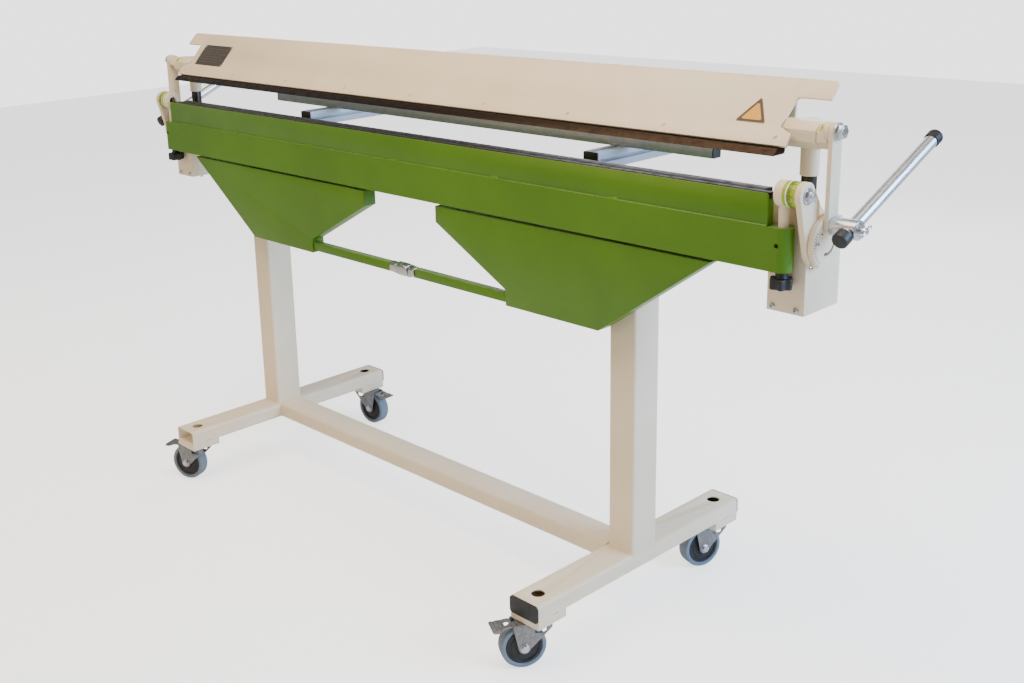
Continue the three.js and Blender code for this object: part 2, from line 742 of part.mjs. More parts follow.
function gaugeBar() {
  const z0 = railTop + fit;
  const bar = block(-gaugeHalf, gaugeHalf, gaugeFront, gaugeFront + gaugeDepth, z0, z0 + gaugeHeight);
  const z1 = z0 + gaugeHeight;
  const slot = block(-gaugeHalf - 1, gaugeHalf + 1, gaugeFront + 9, gaugeFront + 17, z1 - 7, z1 + 1);
  return shaped([bar], [slot]);
}

// ---------------------------------------------------------------- assembly
placePair('stand_side', standSide(), cream);
place('cross_beam', crossBeam(), cream);
const footEnd = footLength / 2;
const footMid = standWidth / 2 - footWidth / 2;
const capZ = (footTop + footBottom) / 2;
for (const [name, s, end] of [['right_front', 1, -1], ['right_back', 1, 1], ['left_back', -1, 1]]) {
  const cap = place(`foot_cap_${name}`, footCap(), blackPlastic);
  cap.position.set(s * footMid, footCentreY + end * (footEnd + fit), capZ);
  cap.rotation.z = end < 0 ? 0 : Math.PI;
}
for (const [name, heading] of Object.entries(castorHeadings)) {
  const x = name.startsWith('right') ? footMid : -footMid;
  castor(name, x, name.endsWith('front') ? castorFront : castorBack, heading);
}

place('lower_beam', lowerBeam(), green);
place('lower_blade', lowerBlade(), bladeSteel);
placePair('support_plate', supportPlate(), green);
placePair('tension_rod', tensionRod(), green);
place('turnbuckle', turnbuckle(), zinc);
placePair('end_housing', housing(), cream);
placePair('arm_plate', armPlate(), cream);
placePair('guide_post', guidePost(), darkPost);

place('folding_beam', foldingBeam(), green);
place('folding_blade', foldingBlade(), bladeSteel);
placePair('pivot_drum', drum(), cream);
placePair('hanger_rod', hangerRod(), cream);
placePair('star_knob', starKnob(), blackPlastic);

place('clamp_beam', clampBeam(), cream);
place('clamp_blade', clampBlade(), bladeSteel);
placePair('lift_arm', liftArm(), cream);
placePair('height_adjuster', heightAdjuster(), cream);

placePair('strap', strap(), cream);
placePair('crank_disc', crankDisc(), cream);
place('cross_shaft', crossShaft(), zinc);
placePair('lever_hub', leverHub(), zinc);
placePair('lever_tube', leverTube(), zinc);
placePair('lever_grip', grip(leverAbove - gripLength + 4, leverAbove + 4), blackPlastic);

placePair('gauge_rail', gaugeRail(), aluminium);
place('gauge_bar', gaugeBar(), aluminium);

export default machine;
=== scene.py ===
import math

import bmesh
import bpy
from mathutils import Matrix, Vector


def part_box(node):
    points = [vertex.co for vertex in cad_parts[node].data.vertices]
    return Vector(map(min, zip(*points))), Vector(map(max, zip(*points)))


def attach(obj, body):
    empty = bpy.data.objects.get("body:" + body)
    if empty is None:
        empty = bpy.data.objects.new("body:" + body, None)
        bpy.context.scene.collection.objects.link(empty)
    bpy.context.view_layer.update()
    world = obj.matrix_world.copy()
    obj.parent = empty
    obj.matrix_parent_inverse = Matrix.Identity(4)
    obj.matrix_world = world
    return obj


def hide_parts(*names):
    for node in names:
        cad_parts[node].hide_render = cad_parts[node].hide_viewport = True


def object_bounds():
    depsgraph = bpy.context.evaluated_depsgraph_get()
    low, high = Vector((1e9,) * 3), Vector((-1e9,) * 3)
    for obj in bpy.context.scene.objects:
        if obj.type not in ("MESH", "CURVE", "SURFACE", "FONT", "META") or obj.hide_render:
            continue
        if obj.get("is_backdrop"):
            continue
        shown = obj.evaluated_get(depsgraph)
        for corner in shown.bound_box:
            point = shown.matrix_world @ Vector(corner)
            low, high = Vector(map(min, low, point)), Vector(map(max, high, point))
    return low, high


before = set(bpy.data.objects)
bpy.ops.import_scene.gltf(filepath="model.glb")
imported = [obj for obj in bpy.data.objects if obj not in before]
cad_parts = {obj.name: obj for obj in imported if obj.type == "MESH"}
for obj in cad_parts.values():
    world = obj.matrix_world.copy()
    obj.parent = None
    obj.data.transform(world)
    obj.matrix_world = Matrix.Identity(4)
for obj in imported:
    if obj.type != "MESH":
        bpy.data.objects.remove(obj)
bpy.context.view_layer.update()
MM = 0.001
SIDES = (("right", 1), ("left", -1))
CASTORS = (("right_front", -120), ("right_back", -108), ("left_front", -158), ("left_back", 5))


class Span:
    """A CAD node's box at rest, in millimetres."""

    def __init__(self, name):
        low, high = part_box(name)
        self.x0, self.y0, self.z0 = [v / MM for v in low]
        self.x1, self.y1, self.z1 = [v / MM for v in high]
        self.cx = (self.x0 + self.x1) / 2
        self.cy = (self.y0 + self.y1) / 2
        self.cz = (self.z0 + self.z1) / 2


# ------------------------------------------------------------------ materials

def linear(code):
    """sRGB hex to linear RGBA."""
    parts = [int(code[i:i + 2], 16) / 255 for i in (1, 3, 5)]
    return [v / 12.92 if v <= 0.04045 else ((v + 0.055) / 1.055) ** 2.4 for v in parts] + [1.0]


def add(tree, kind, inputs=None, out=0, **settings):
    """Adds a node with its settings, sets or links its inputs, and gives back one of its outputs."""
    made = tree.nodes.new(kind)
    for key, value in settings.items():
        setattr(made, key, value)
    for key, value in (inputs or {}).items():
        if isinstance(value, bpy.types.NodeSocket):
            tree.links.new(value, made.inputs[key])
        else:
            made.inputs[key].default_value = value
    return made.outputs[out] if made.outputs else None


def blank(name):
    """An empty material, its tree and the object coordinates that its patterns read."""
    made = bpy.data.materials.new(name)
    made.use_nodes = True
    made.node_tree.nodes.clear()
    return made, made.node_tree, add(made.node_tree, "ShaderNodeTexCoord", out="Object")


def per_metre(size):
    """The scale of a pattern whose cells are size millimetres across."""
    return 1 / (size * MM)


def patches(tree, where, size, detail, span, values, rough=0.5):
    """Soft patches about size millimetres across. Noise between span's ends runs between the values."""
    cloud = add(tree, "ShaderNodeTexNoise", {"Vector": where, "Scale": per_metre(size), "Detail": detail,
                                             "Roughness": rough})
    return add(tree, "ShaderNodeMapRange", {0: cloud, 1: span[0], 2: span[1], 3: values[0], 4: values[1]})


def finish_shader(tree, inputs, *bumps):
    """Principled shader with a chain of bumps, each (height, strength, depth in millimetres)."""
    for height, strength, depth in bumps:
        settings = {"Height": height, "Strength": strength, "Distance": depth * MM}
        if "Normal" in inputs:
            settings["Normal"] = inputs["Normal"]
        inputs = dict(inputs, Normal=add(tree, "ShaderNodeBump", settings))
    add(tree, "ShaderNodeOutputMaterial", {"Surface": add(tree, "ShaderNodeBsdfPrincipled", inputs)})


def powder_coat(name, main, deep, rough):
    """Baked polyester powder coat: an orange-peel skin, an even colour with faint clouding, a duller film of
    dust where it faces up and a few fine upright rubs."""
    made, tree, here = blank(name)
    clouding = patches(tree, here, 222, 5.0, (0.35, 0.65), (0.0, 1.0))
    colour = add(tree, "ShaderNodeMix", {0: clouding, 6: linear(main), 7: linear(deep)}, 2, data_type="RGBA")
    normal = add(tree, "ShaderNodeNewGeometry", out="Normal")
    upward = add(tree, "ShaderNodeSeparateXYZ", {"Vector": normal}, "Z")
    facing = add(tree, "ShaderNodeMapRange", {0: upward, 1: 0.75, 2: 1.0, 3: 0.0, 4: 0.22})
    specks = patches(tree, here, 26.3, 6.0, (0.35, 0.7), (0.2, 1.0), 0.65)
    dust = add(tree, "ShaderNodeMath", {0: facing, 1: specks}, operation="MULTIPLY")
    colour = add(tree, "ShaderNodeMix", {0: dust, 6: colour, 7: linear("#c9c3b6")}, 2, data_type="RGBA")
    upright = add(tree, "ShaderNodeMapping", {"Vector": here, "Scale": (1.0, 1.0, 8.67)})
    rubs = patches(tree, upright, 33.3, 6.0, (0.64, 0.74), (0.0, 0.1225), 0.7)
    skin = patches(tree, here, 45.5, 4.0, (0.3, 0.7), (rough - 0.05, rough + 0.05))
    roughness = add(tree, "ShaderNodeMath", {0: skin, 1: rubs}, operation="ADD")
    peel = add(tree, "ShaderNodeTexNoise", {"Vector": here, "Scale": per_metre(1.61), "Detail": 2.0})
    ripple = add(tree, "ShaderNodeTexNoise", {"Vector": here, "Scale": per_metre(111), "Detail": 2.0})
    finish_shader(tree, {"Base Color": colour, "Roughness": roughness, "IOR": 1.5, "Specular IOR Level": 0.34,
                         "Coat Weight": 0.05, "Coat Roughness": 0.2}, (peel, 0.11, 0.6), (ripple, 0.05, 4.0))
    return made


def drawn_steel(name, main, dark, rough, lay, patina=0.25, depth=0.08):
    """Bare or plated metal with fine lines, lay millimetres long on x, y and z, from drawing, rolling or
    grinding, and a little patina."""
    made, tree, here = blank(name)
    along = add(tree, "ShaderNodeMapping", {"Vector": here, "Scale": [per_metre(v) for v in lay]})
    lines = add(tree, "ShaderNodeTexNoise", {"Vector": along, "Scale": 1.0, "Detail": 3.0, "Roughness": 0.6})
    spots = patches(tree, here, 16.7, 8.0, (0.45, 0.7), (0.0, patina), 0.7)
    colour = add(tree, "ShaderNodeMix", {0: spots, 6: linear(main), 7: linear(dark)}, 2, data_type="RGBA")
    shade = add(tree, "ShaderNodeMapRange", {0: lines, 1: 0.3, 2: 0.7, 3: 0.0, 4: 0.22})
    colour = add(tree, "ShaderNodeMix", {0: shade, 6: colour, 7: linear(dark)}, 2, data_type="RGBA")
    marks = add(tree, "ShaderNodeMapRange", {0: lines, 1: 0.3, 2: 0.7, 3: rough - 0.07, 4: rough + 0.09})
    roughness = add(tree, "ShaderNodeMath", {0: marks, 1: spots}, operation="ADD")
    finish_shader(tree, {"Base Color": colour, "Metallic": 1.0, "Roughness": roughness}, (lines, 0.25, depth))
    return made


def dull_zinc(name, main, dark, rough):
    """Pressed sheet with a dull zinc coat: faint spangles about 6 mm across and handling marks."""
    made, tree, here = blank(name)
    cells = add(tree, "ShaderNodeTexVoronoi", {"Vector": here, "Scale": per_metre(5.88)}, "Color")
    grey = add(tree, "ShaderNodeSeparateColor", {"Color": cells})
    spangle = add(tree, "ShaderNodeMapRange", {0: grey, 1: 0.0, 2: 1.0, 3: 0.0, 4: 0.4})
    colour = add(tree, "ShaderNodeMix", {0: spangle, 6: linear(main), 7: linear(dark)}, 2, data_type="RGBA")
    grime = patches(tree, here, 22.2, 7.0, (0.5, 0.75), (0.0, 0.5), 0.7)
    colour = add(tree, "ShaderNodeMix", {0: grime, 6: colour, 7: linear(dark)}, 2, data_type="RGBA")
    roughness = patches(tree, here, 11.1, 4.0, (0.3, 0.7), (rough - 0.06, rough + 0.12))
    dents = add(tree, "ShaderNodeTexNoise", {"Vector": here, "Scale": per_metre(3.85), "Detail": 4.0})
    finish_shader(tree, {"Base Color": colour, "Metallic": 0.9, "Roughness": roughness}, (dents, 0.12, 0.2))
    return made


def moulded(name, main, worn, rough, grain):
    """Moulded plastic or rubber: an eroded grain, slightly lighter where it has been handled. It also draws
    the black painted shade put at the bottoms of bores and slots.
    """
    made, tree, here = blank(name)
    handled = patches(tree, here, 29.4, 6.0, (0.5, 0.8), (0.0, 0.6), 0.65)
    colour = add(tree, "ShaderNodeMix", {0: handled, 6: linear(main), 7: linear(worn)}, 2, data_type="RGBA")
    roughness = patches(tree, here, 12.5, 4.0, (0.3, 0.7), (rough - 0.07, rough + 0.08))
    pores = add(tree, "ShaderNodeTexNoise", {"Vector": here, "Scale": per_metre(grain), "Detail": 3.0})
    finish_shader(tree, {"Base Color": colour, "Roughness": roughness, "IOR": 1.5}, (pores, 0.3, 0.15))
    return made


def printed_film(name, main, worn):
    """Printed vinyl film: flat even ink under a thin clear layer, slightly faded in places."""
    made, tree, here = blank(name)
    fade = patches(tree, here, 33.3, 5.0, (0.4, 0.75), (0.0, 0.35))
    colour = add(tree, "ShaderNodeMix", {0: fade, 6: linear(main), 7: linear(worn)}, 2, data_type="RGBA")
    roughness = patches(tree, here, 7.14, 3.0, (0.3, 0.7), (0.28, 0.42))
    film = add(tree, "ShaderNodeTexNoise", {"Vector": here, "Scale": per_metre(3.33), "Detail": 2.0})
    finish_shader(tree, {"Base Color": colour, "Roughness": roughness, "IOR": 1.5}, (film, 0.05, 0.1))
    return made


# Warm ivory paint on the stand and the clamp: a satin skin that stays matt in broad light.
CREAM = powder_coat("cream_powder_coat", "#ebdcc0", "#e5d4b6", 0.42)
# The same paint in yellow-green, a little glossier, so its edges catch a line of light.
GREEN = powder_coat("yellow_green_powder_coat", "#4e7b00", "#477200", 0.34)
# Ground tool steel under a film of oil: nearly black, with long lines that run the length of the blades.
BLADE = drawn_steel("oiled_tool_steel", "#352b24", "#17120f", 0.42, (625, 2.38, 2.38), 0.22)
# Bright zinc plate on bolts and hubs: a cool soft mirror.
ZINC = drawn_steel("bright_zinc_plate", "#c6c8cb", "#8f8d88", 0.24, (1.43, 16.7, 16.7), 0.12)
# Bright drawn tube: brighter than the bolts, with its lines along the lever.
TUBE = drawn_steel("drawn_bright_tube", "#d2d4d7", "#b9bbbd", 0.3, (1.11, 71.4, 33.3), 0.06)
# Phosphated set screws and inserts: a blotchy brown-grey that hardly shines.
PHOSPHATE = drawn_steel("phosphated_steel", "#8b7e6d", "#4d4439", 0.45, (25, 3.33, 3.33), 0.4)
# Blackened guide posts: a dark gloss with upright streaks.
OXIDE = drawn_steel("black_oxide_steel", "#4a4643", "#26231f", 0.3, (3.33, 3.33, 83.3), 0.2)
# Castor forks and pedals: dull grey sheet with spangles.
PRESSED = dull_zinc("pressed_zinc_sheet", "#8f8f93", "#5d5b5c", 0.38)
# Anodised extrusion: pale satin grey with the die's lines along the rails and, on the bar, along x.
ALUMINIUM = drawn_steel("anodised_aluminium", "#b2b8bf", "#8b9199", 0.44, (1.92, 167, 1.92), 0.15, 0.05)
ALUMINIUM_BAR = drawn_steel("anodised_aluminium_bar", "#a2abb5", "#7d8691", 0.48, (167, 1.92, 1.92), 0.15,
                            0.05)
# Non-marking wheel rubber: blue-grey and flat, with a coarse grain drawn larger than life so that it shows.
TREAD = moulded("grey_rubber_tread", "#6f7b88", "#8b949c", 0.68, 2.38)
# Black nylon grips, caps and hubs: a low gloss that shows their round edges.
BLACK = moulded("black_moulded_nylon", "#141517", "#2a2a2b", 0.48, 1.11)
# Label films: flat inks with a faint shine, lime, white, black and signal yellow.
LIME = printed_film("lime_label_film", "#93ad00", "#a2b820")
WHITE = printed_film("white_label_film", "#f1efe6", "#e4e1d6")
INK = printed_film("black_label_ink", "#0c0a08", "#15120f")
AMBER = printed_film("yellow_label_film", "#dd9600", "#e2a316")
# The rating plate's dark etched face.
PLATE_FILM = printed_film("dark_plate_film", "#3a3631", "#4a453f")
# Painted shade: a black surface without shine, put at the unlit bottom of a bore or slot to stand for its
# shade.
BORE_SHADE = moulded("painted_bore_shade", "#0b0a0a", "#131211", 0.7, 5)


# ------------------------------------------------------------------ shapes, in millimetres

def arc(cu, cv, r, start, end, n):
    """Points round (cu, cv) from start to end degrees, in n steps."""
    angles = [math.radians(start + (end - start) * i / n) for i in range(n + 1)]
    return [(cu + r * math.cos(t), cv + r * math.sin(t)) for t in angles]


def rounded(u0, v0, u1, v1, r):
    """Rectangle outline with round corners."""
    corners = ((u1 - r, v0 + r), (u1 - r, v1 - r), (u0 + r, v1 - r), (u0 + r, v0 + r))
    return [p for k, (cu, cv) in enumerate(corners) for p in arc(cu, cv, r, 90 * k - 90, 90 * k, 6)]


def prism(axis, outline, a, b):
    """An outline run from a to b. Its two numbers are (y, z) for axis x, (x, z) for y and (x, y) for z."""
    turn = {"x": lambda u, v, w: (w, u, v),
            "y": lambda u, v, w: (u, w, v),
            "z": lambda u, v, w: (u, v, w)}[axis]
    n = len(outline)
    points = [turn(u, v, w) for w in (a, b) for u, v in outline]
    faces = [tuple(range(n)), tuple(range(2 * n - 1, n - 1, -1))]
    faces += [(i, (i + 1) % n, n + (i + 1) % n, n + i) for i in range(n)]
    return points, faces


def block(x0, x1, y0, y1, z0, z1):
    return prism("z", [(x0, y0), (x1, y0), (x1, y1), (x0, y1)], z0, z1)


def lathe(axis, centre, profile, sides=48):
    """A profile of (radius, distance along the axis) turned about the axis through centre."""
    turn = {"x": lambda r, c, s, t: (t, r * c, r * s),
            "y": lambda r, c, s, t: (r * c, t, r * s),
            "z": lambda r, c, s, t: (r * c, r * s, t)}[axis]
    points, rings = [], []
    for r, t in profile:
        if r < 1e-6:
            rings.append([len(points)] * sides)
            points.append(turn(0, 1, 0, t))
        else:
            rings.append(list(range(len(points), len(points) + sides)))
            points += [turn(r, math.cos(2 * math.pi * i / sides), math.sin(2 * math.pi * i / sides), t)
                       for i in range(sides)]
    faces = []
    on_axis = profile[0][0] < 1e-6 and profile[-1][0] < 1e-6
    for k in range(len(rings) - 1 if on_axis else len(rings)):
        lower, upper = rings[k], rings[(k + 1) % len(rings)]
        for i in range(sides):
            j = (i + 1) % sides
            face = []
            for index in (lower[i], lower[j], upper[j], upper[i]):
                if index not in face:
                    face.append(index)
            if len(face) > 2:
                faces.append(tuple(face))
    return [tuple(p[i] + centre[i] for i in range(3)) for p in points], faces


def rod(axis, centre, r, a, b, ease=0.0, sides=48):
    """A round bar from a to b, its ends chamfered by ease."""
    ends = [(r - ease, a), (r, a + ease), (r, b - ease), (r - ease, b)] if ease else [(r, a), (r, b)]
    return lathe(axis, centre, [(0, a)] + ends + [(0, b)], sides)


def ring(axis, centre, r0, r1, a, b, sides=48):
    return lathe(axis, centre, [(r0, a), (r1, a), (r1, b), (r0, b)], sides)


def polygon(cu, cv, flats, count=6, turn=0.0):
    """A regular outline, flats millimetres between opposite sides."""
    r = flats / 2 / math.cos(math.pi / count)
    angles = [2 * math.pi * i / count + turn for i in range(count)]
    return [(cu + r * math.cos(t), cv + r * math.sin(t)) for t in angles]


def moved(shape, matrix):
    points, faces = shape
    return [tuple(matrix @ Vector(p)) for p in points], faces


def sided(shape, sign):
    """The shape itself for the right, sign 1, or its mirror image for the left, sign -1."""
    points, faces = shape
    return [(sign * x, y, z) for x, y, z in points], faces


def raw_object(name, shapes):
    """Shapes in millimetres as one object, with their faces turned outwards."""
    mesh = bpy.data.meshes.new(name)
    points, faces = [], []
    for shape_points, shape_faces in shapes:
        start = len(points)
        points += [tuple(v * MM for v in p) for p in shape_points]
        faces += [tuple(i + start for i in f) for f in shape_faces]
    mesh.from_pydata(points, [], faces)
    made = bpy.data.objects.new(name, mesh)
    bpy.context.scene.collection.objects.link(made)
    faced = bmesh.new()
    faced.from_mesh(mesh)
    bmesh.ops.recalc_face_normals(faced, faces=faced.faces)
    faced.to_mesh(mesh)
    faced.free()
    return made


def baked(obj, name, smooth=32.0):
    """The object as a plain mesh with its modifiers applied, smooth across angles below smooth degrees."""
    evaluated = obj.evaluated_get(bpy.context.evaluated_depsgraph_get())
    mesh = bpy.data.meshes.new_from_object(evaluated)
    bpy.data.objects.remove(obj)
    mesh.name = name
    mesh.shade_smooth()
    mesh.set_sharp_from_angle(angle=math.radians(smooth))
    made = bpy.data.objects.new(name, mesh)
    bpy.context.scene.collection.objects.link(made)
    return made


def combine(target, operand, operation):
    step = target.modifiers.new(operation.lower(), "BOOLEAN")
    step.operation = operation
    step.solver = "EXACT"
    step.object = operand


def softened(obj, width, segments=3):
    """Rounds the sharp edges by width millimetres."""
    if width:
        edge = obj.modifiers.new("edge", "BEVEL")
        edge.width = width * MM
        edge.segments = segments
        edge.limit_method = "ANGLE"
        edge.angle_limit = math.radians(28.0)
        edge.miter_outer = "MITER_ARC"
    return obj


def settle(obj, material, body, nodes=()):
    """Gives a finished piece its material and slot, hangs it on its body and stands it for its CAD nodes."""
    obj.data.materials.clear()
    obj.data.materials.append(material)
    for face in obj.data.polygons:
        face.material_index = 0
    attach(obj, body)
    if nodes:
        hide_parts(*nodes)


def piece(name, material, body, shapes, cuts=(), joined=False, ease=0.0, segments=3, nodes=(), smooth=32.0):
    """One finished piece: shapes kept as they are or joined, less the cuts, with eased edges."""
    helpers = []
    if joined and len(shapes) > 1:
        obj = raw_object(name, shapes[:1])
        for shape in shapes[1:]:
            helpers.append(raw_object(name + "_part", [shape]))
            combine(obj, helpers[-1], "UNION")
    else:
        obj = raw_object(name, shapes)
    for shape in cuts:
        helpers.append(raw_object(name + "_cut", [shape]))
        combine(obj, helpers[-1], "DIFFERENCE")
    softened(obj, ease, segments)
    made = baked(obj, name, smooth)
    for helper in helpers:
        bpy.data.objects.remove(helper)
    settle(made, material, body, nodes)


def pair(name, material, body, shapes, cuts=(), nodes=(), **options):
    """A right-hand piece and its mirror image on the left. {} in body stands for the side."""
    for side, sign in SIDES:
        piece(f"{name}_{side}", material, body.format(side), [sided(s, sign) for s in shapes],
              [sided(s, sign) for s in cuts], nodes=[f"{n}_{side}" for n in nodes], **options)


def from_cad(node, material, body, ease, segments=2):
    """A CAD node's own shape with its doubles merged and its edges rounded."""
    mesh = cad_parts[node].data.copy()
    shape = bmesh.new()
    shape.from_mesh(mesh)
    bmesh.ops.remove_doubles(shape, verts=shape.verts, dist=0.00002)
    bmesh.ops.dissolve_limit(shape, angle_limit=math.radians(1.0), verts=shape.verts, edges=shape.edges)
    shape.to_mesh(mesh)
    shape.free()
    obj = bpy.data.objects.new(node + "_shape", mesh)
    bpy.context.scene.collection.objects.link(obj)
    softened(obj, ease, segments)
    settle(baked(obj, node + "_finish"), material, body, [node])


def cad_pair(node, material, body, ease, segments=2):
    for side, _ in SIDES:
        from_cad(f"{node}_{side}", material, body, ease, segments)


# ------------------------------------------------------------------ what repeats

def repeat_tree():
    """Copies one piece along a step and round a centre."""
    tree = bpy.data.node_groups.new("repeat_piece", "GeometryNodeTree")
    tree.is_modifier = True
    for label, kind in (("Piece", "Object"), ("Count", "Int"), ("Step", "Vector"), ("Turn", "Vector"),
                        ("Centre", "Vector"), ("Finish", "Material")):
        tree.interface.new_socket(name=label, in_out="INPUT", socket_type="NodeSocket" + kind)
    tree.interface.new_socket(name="Geometry", in_out="OUTPUT", socket_type="NodeSocketGeometry")
    given = tree.nodes.new("NodeGroupInput").outputs
    one = add(tree, "GeometryNodeObjectInfo", {"Object": given["Piece"]}, "Geometry")
    back = add(tree, "ShaderNodeVectorMath", {0: given["Centre"], "Scale": -1.0}, operation="SCALE")
    one = add(tree, "GeometryNodeTransform", {"Geometry": one, "Translation": back})
    line = add(tree, "GeometryNodeMeshLine", {"Count": given["Count"], "Offset": given["Step"]})
    index = add(tree, "GeometryNodeInputIndex")
    turned = add(tree, "ShaderNodeVectorMath", {0: given["Turn"], "Scale": index}, operation="SCALE")
    copies = add(tree, "GeometryNodeInstanceOnPoints", {"Points": line, "Instance": one, "Rotation": turned})
    whole = add(tree, "GeometryNodeTransform", {"Geometry": copies, "Translation": given["Centre"]})
    real = add(tree, "GeometryNodeRealizeInstances", {"Geometry": whole})
    painted = add(tree, "GeometryNodeSetMaterial", {"Geometry": real, "Material": given["Finish"]})
    add(tree, "NodeGroupOutput", {"Geometry": painted})
    return tree


REPEAT = repeat_tree()


def repeated(name, material, body, shape, count, step=(0, 0, 0), turn=(0, 0, 0), centre=(0, 0, 0), ease=0.0):
    """One piece copied count times, by step in millimetres and by turn in degrees round centre."""
    one = baked(softened(raw_object(name + "_one", [shape]), ease, 2), name + "_one")
    holder = bpy.data.objects.new(name, bpy.data.meshes.new(name))
    bpy.context.scene.collection.objects.link(holder)
    rule = holder.modifiers.new("repeat", "NODES")
    rule.node_group = REPEAT
    given = {"Piece": one, "Count": count, "Step": [v * MM for v in step],
             "Turn": [math.radians(v) for v in turn], "Centre": [v * MM for v in centre], "Finish": material}
    for item in REPEAT.interface.items_tree:
        if item.in_out == "INPUT":
            rule[item.identifier] = given[item.name]
    made = baked(holder, name)
    bpy.data.objects.remove(one)
    settle(made, material, body)


def hex_bolt(axis, at, flats, height, washer, washer_thick, outward=1):
    """Hexagon head with a chamfered crown on a washer, standing outward from the point at."""
    a = "xyz".index(axis)
    centre = tuple(0 if i == a else at[i] for i in range(3))
    u, v = [at[i] for i in range(3) if i != a]
    base = at[a] + outward * washer_thick
    tip = base + outward * height
    shoulder = tip - outward * height * 0.12
    points, faces = prism(axis, polygon(u, v, flats), base, shoulder)
    points += prism(axis, polygon(u, v, flats * 0.87), shoulder, tip)[0][6:]
    chamfer = [(6 + i, 6 + (i + 1) % 6, 12 + (i + 1) % 6, 12 + i) for i in range(6)]
    head = (points, [faces[0]] + faces[2:] + chamfer + [tuple(range(12, 18))])
    under = rod(axis, centre, washer / 2, *sorted((at[a], base)), 0.3, 40)
    crown = rod(axis, centre, flats * 0.42, *sorted((shoulder, tip + outward * 0.25)), 0.2, 36)
    return [under, head, crown]


def dome_screw(axis, at, d, height, outward=1):
    """Dome head with a hexagon socket."""
    a = "xyz".index(axis)
    centre = tuple(0 if i == a else at[i] for i in range(3))
    base, rise, socket = at[a], outward * height, d * 0.24
    profile = [(0, base), (d / 2, base), (d / 2, base + rise * 0.15)]
    for k in range(1, 6):
        t = math.radians(15 * k)
        profile.append((max(socket, d / 2 * math.cos(t)), base + rise * (0.15 + 0.85 * math.sin(t))))
    profile += [(socket, base + rise), (socket * 0.98, base + rise * 0.45), (0, base + rise * 0.4)]
    return [lathe(axis, centre, profile, 30)]


# ------------------------------------------------------------------ stand

side = Span("stand_side_right")
beam = Span("cross_beam")
foot_top, foot_low, upright_back = beam.z1, beam.z0, beam.y1
upright_in = side.x1 - 70
tube_r, wall, skirt_long, castor_in = 8, 3, 84, 41


def stand_sides():
    shapes = [prism("y", rounded(side.x0, foot_low, side.x1, foot_top, tube_r), side.y0, side.y1),
              prism("z", rounded(upright_in, -upright_back, side.x1, upright_back, 6), foot_top - 4, side.z1)]
    hollow = rounded(side.x0 + wall, foot_low + wall, side.x1 - wall, foot_top - wall, tube_r - wall)
    cuts = [prism("y", hollow, side.y0 - 1, side.y1 + 1)]
    for end, inward in ((side.y0, 1), (side.y1, -1)):
        low, high = sorted((end, end + inward * skirt_long))
        shapes.append(block(side.x0, side.x1, low, high, side.z0, foot_low + 9))
        cuts.append(block(side.x0 + wall, side.x1 - wall, low + wall, high - wall, side.z0 - 1,
                          foot_low + 0.2))
        cuts.append(rod("z", (side.cx, end + inward * castor_in, 0), 15, foot_top - 5, foot_top + 5))
        slot_at = end + inward * 49
        for face in (side.x0, side.x1):
            cuts.append(block(face - 2, face + 2, slot_at - 9, slot_at + 9, foot_low + 3.2, foot_low + 6))
    pair("stand_side_finish", CREAM, "frame", shapes, cuts, ["stand_side"], joined=True, ease=0.7, segments=2)


stand_sides()
piece("cross_beam_finish", CREAM, "frame",
      [prism("x", rounded(beam.y0, beam.z0, beam.y1, beam.z1, tube_r), beam.x0, beam.x1)],
      nodes=["cross_beam"])

# Painted weld beads where the uprights and the cross beam meet the feet.
bead = lathe("z", (0, 0, 0), [(0, -2.2), (2.3, -1.0), (2.6, 0.6), (1.4, 2.0), (0, 2.3)], 8)
bead_pitch = 1.95
for tag, sign in SIDES:
    runs = (("upright_bead_front", (upright_in + 5, -upright_back, foot_top), 31, (sign * bead_pitch, 0, 0)),
            ("upright_bead_back", (upright_in + 5, upright_back, foot_top), 31, (sign * bead_pitch, 0, 0)),
            ("upright_bead_inner", (upright_in, -upright_back + 5, foot_top), 37, (0, bead_pitch, 0)),
            ("beam_bead_top", (side.x0 - 0.4, beam.y0 + 8, beam.z1 - 0.6), 35, (0, bead_pitch, 0)),
            ("beam_bead_front", (side.x0 - 0.4, beam.y0 + 0.6, beam.z0 + 8), 13, (0, 0, bead_pitch)))
    for run, (x, y, z), count, step in runs:
        first = moved(bead, Matrix.Translation((sign * x, y, z)))
        repeated(f"{run}_{tag}", CREAM, "frame", first, count, step)

# Foot end caps: a rounded plate with a plug inside the tube.
for where in ("right_front", "right_back", "left_back"):
    cap = Span("foot_cap_" + where)
    front = where.endswith("front")
    face = cap.y0 if front else cap.y1
    edge = face + (4 if front else -4)
    plug = cap.y1 if front else cap.y0
    low, high = sorted((face, edge))
    plug_low, plug_high = sorted((edge, plug))
    plate, inner = [prism("y", rounded(cap.x0 + gap, cap.z0 + gap, cap.x1 - gap, cap.z1 - gap, r), a, b)
                    for gap, r, a, b in ((0.2, tube_r, low, high), (3.6, 4, plug_low, plug_high))]
    piece("foot_cap_finish_" + where, BLACK, "frame", [plate, inner], ease=0.9, nodes=["foot_cap_" + where])

# ------------------------------------------------------------------ castors, drawn about the swivel axis

trail, axle_z = 36, 50
cheek_in, cheek_out = 18.5, 21.5


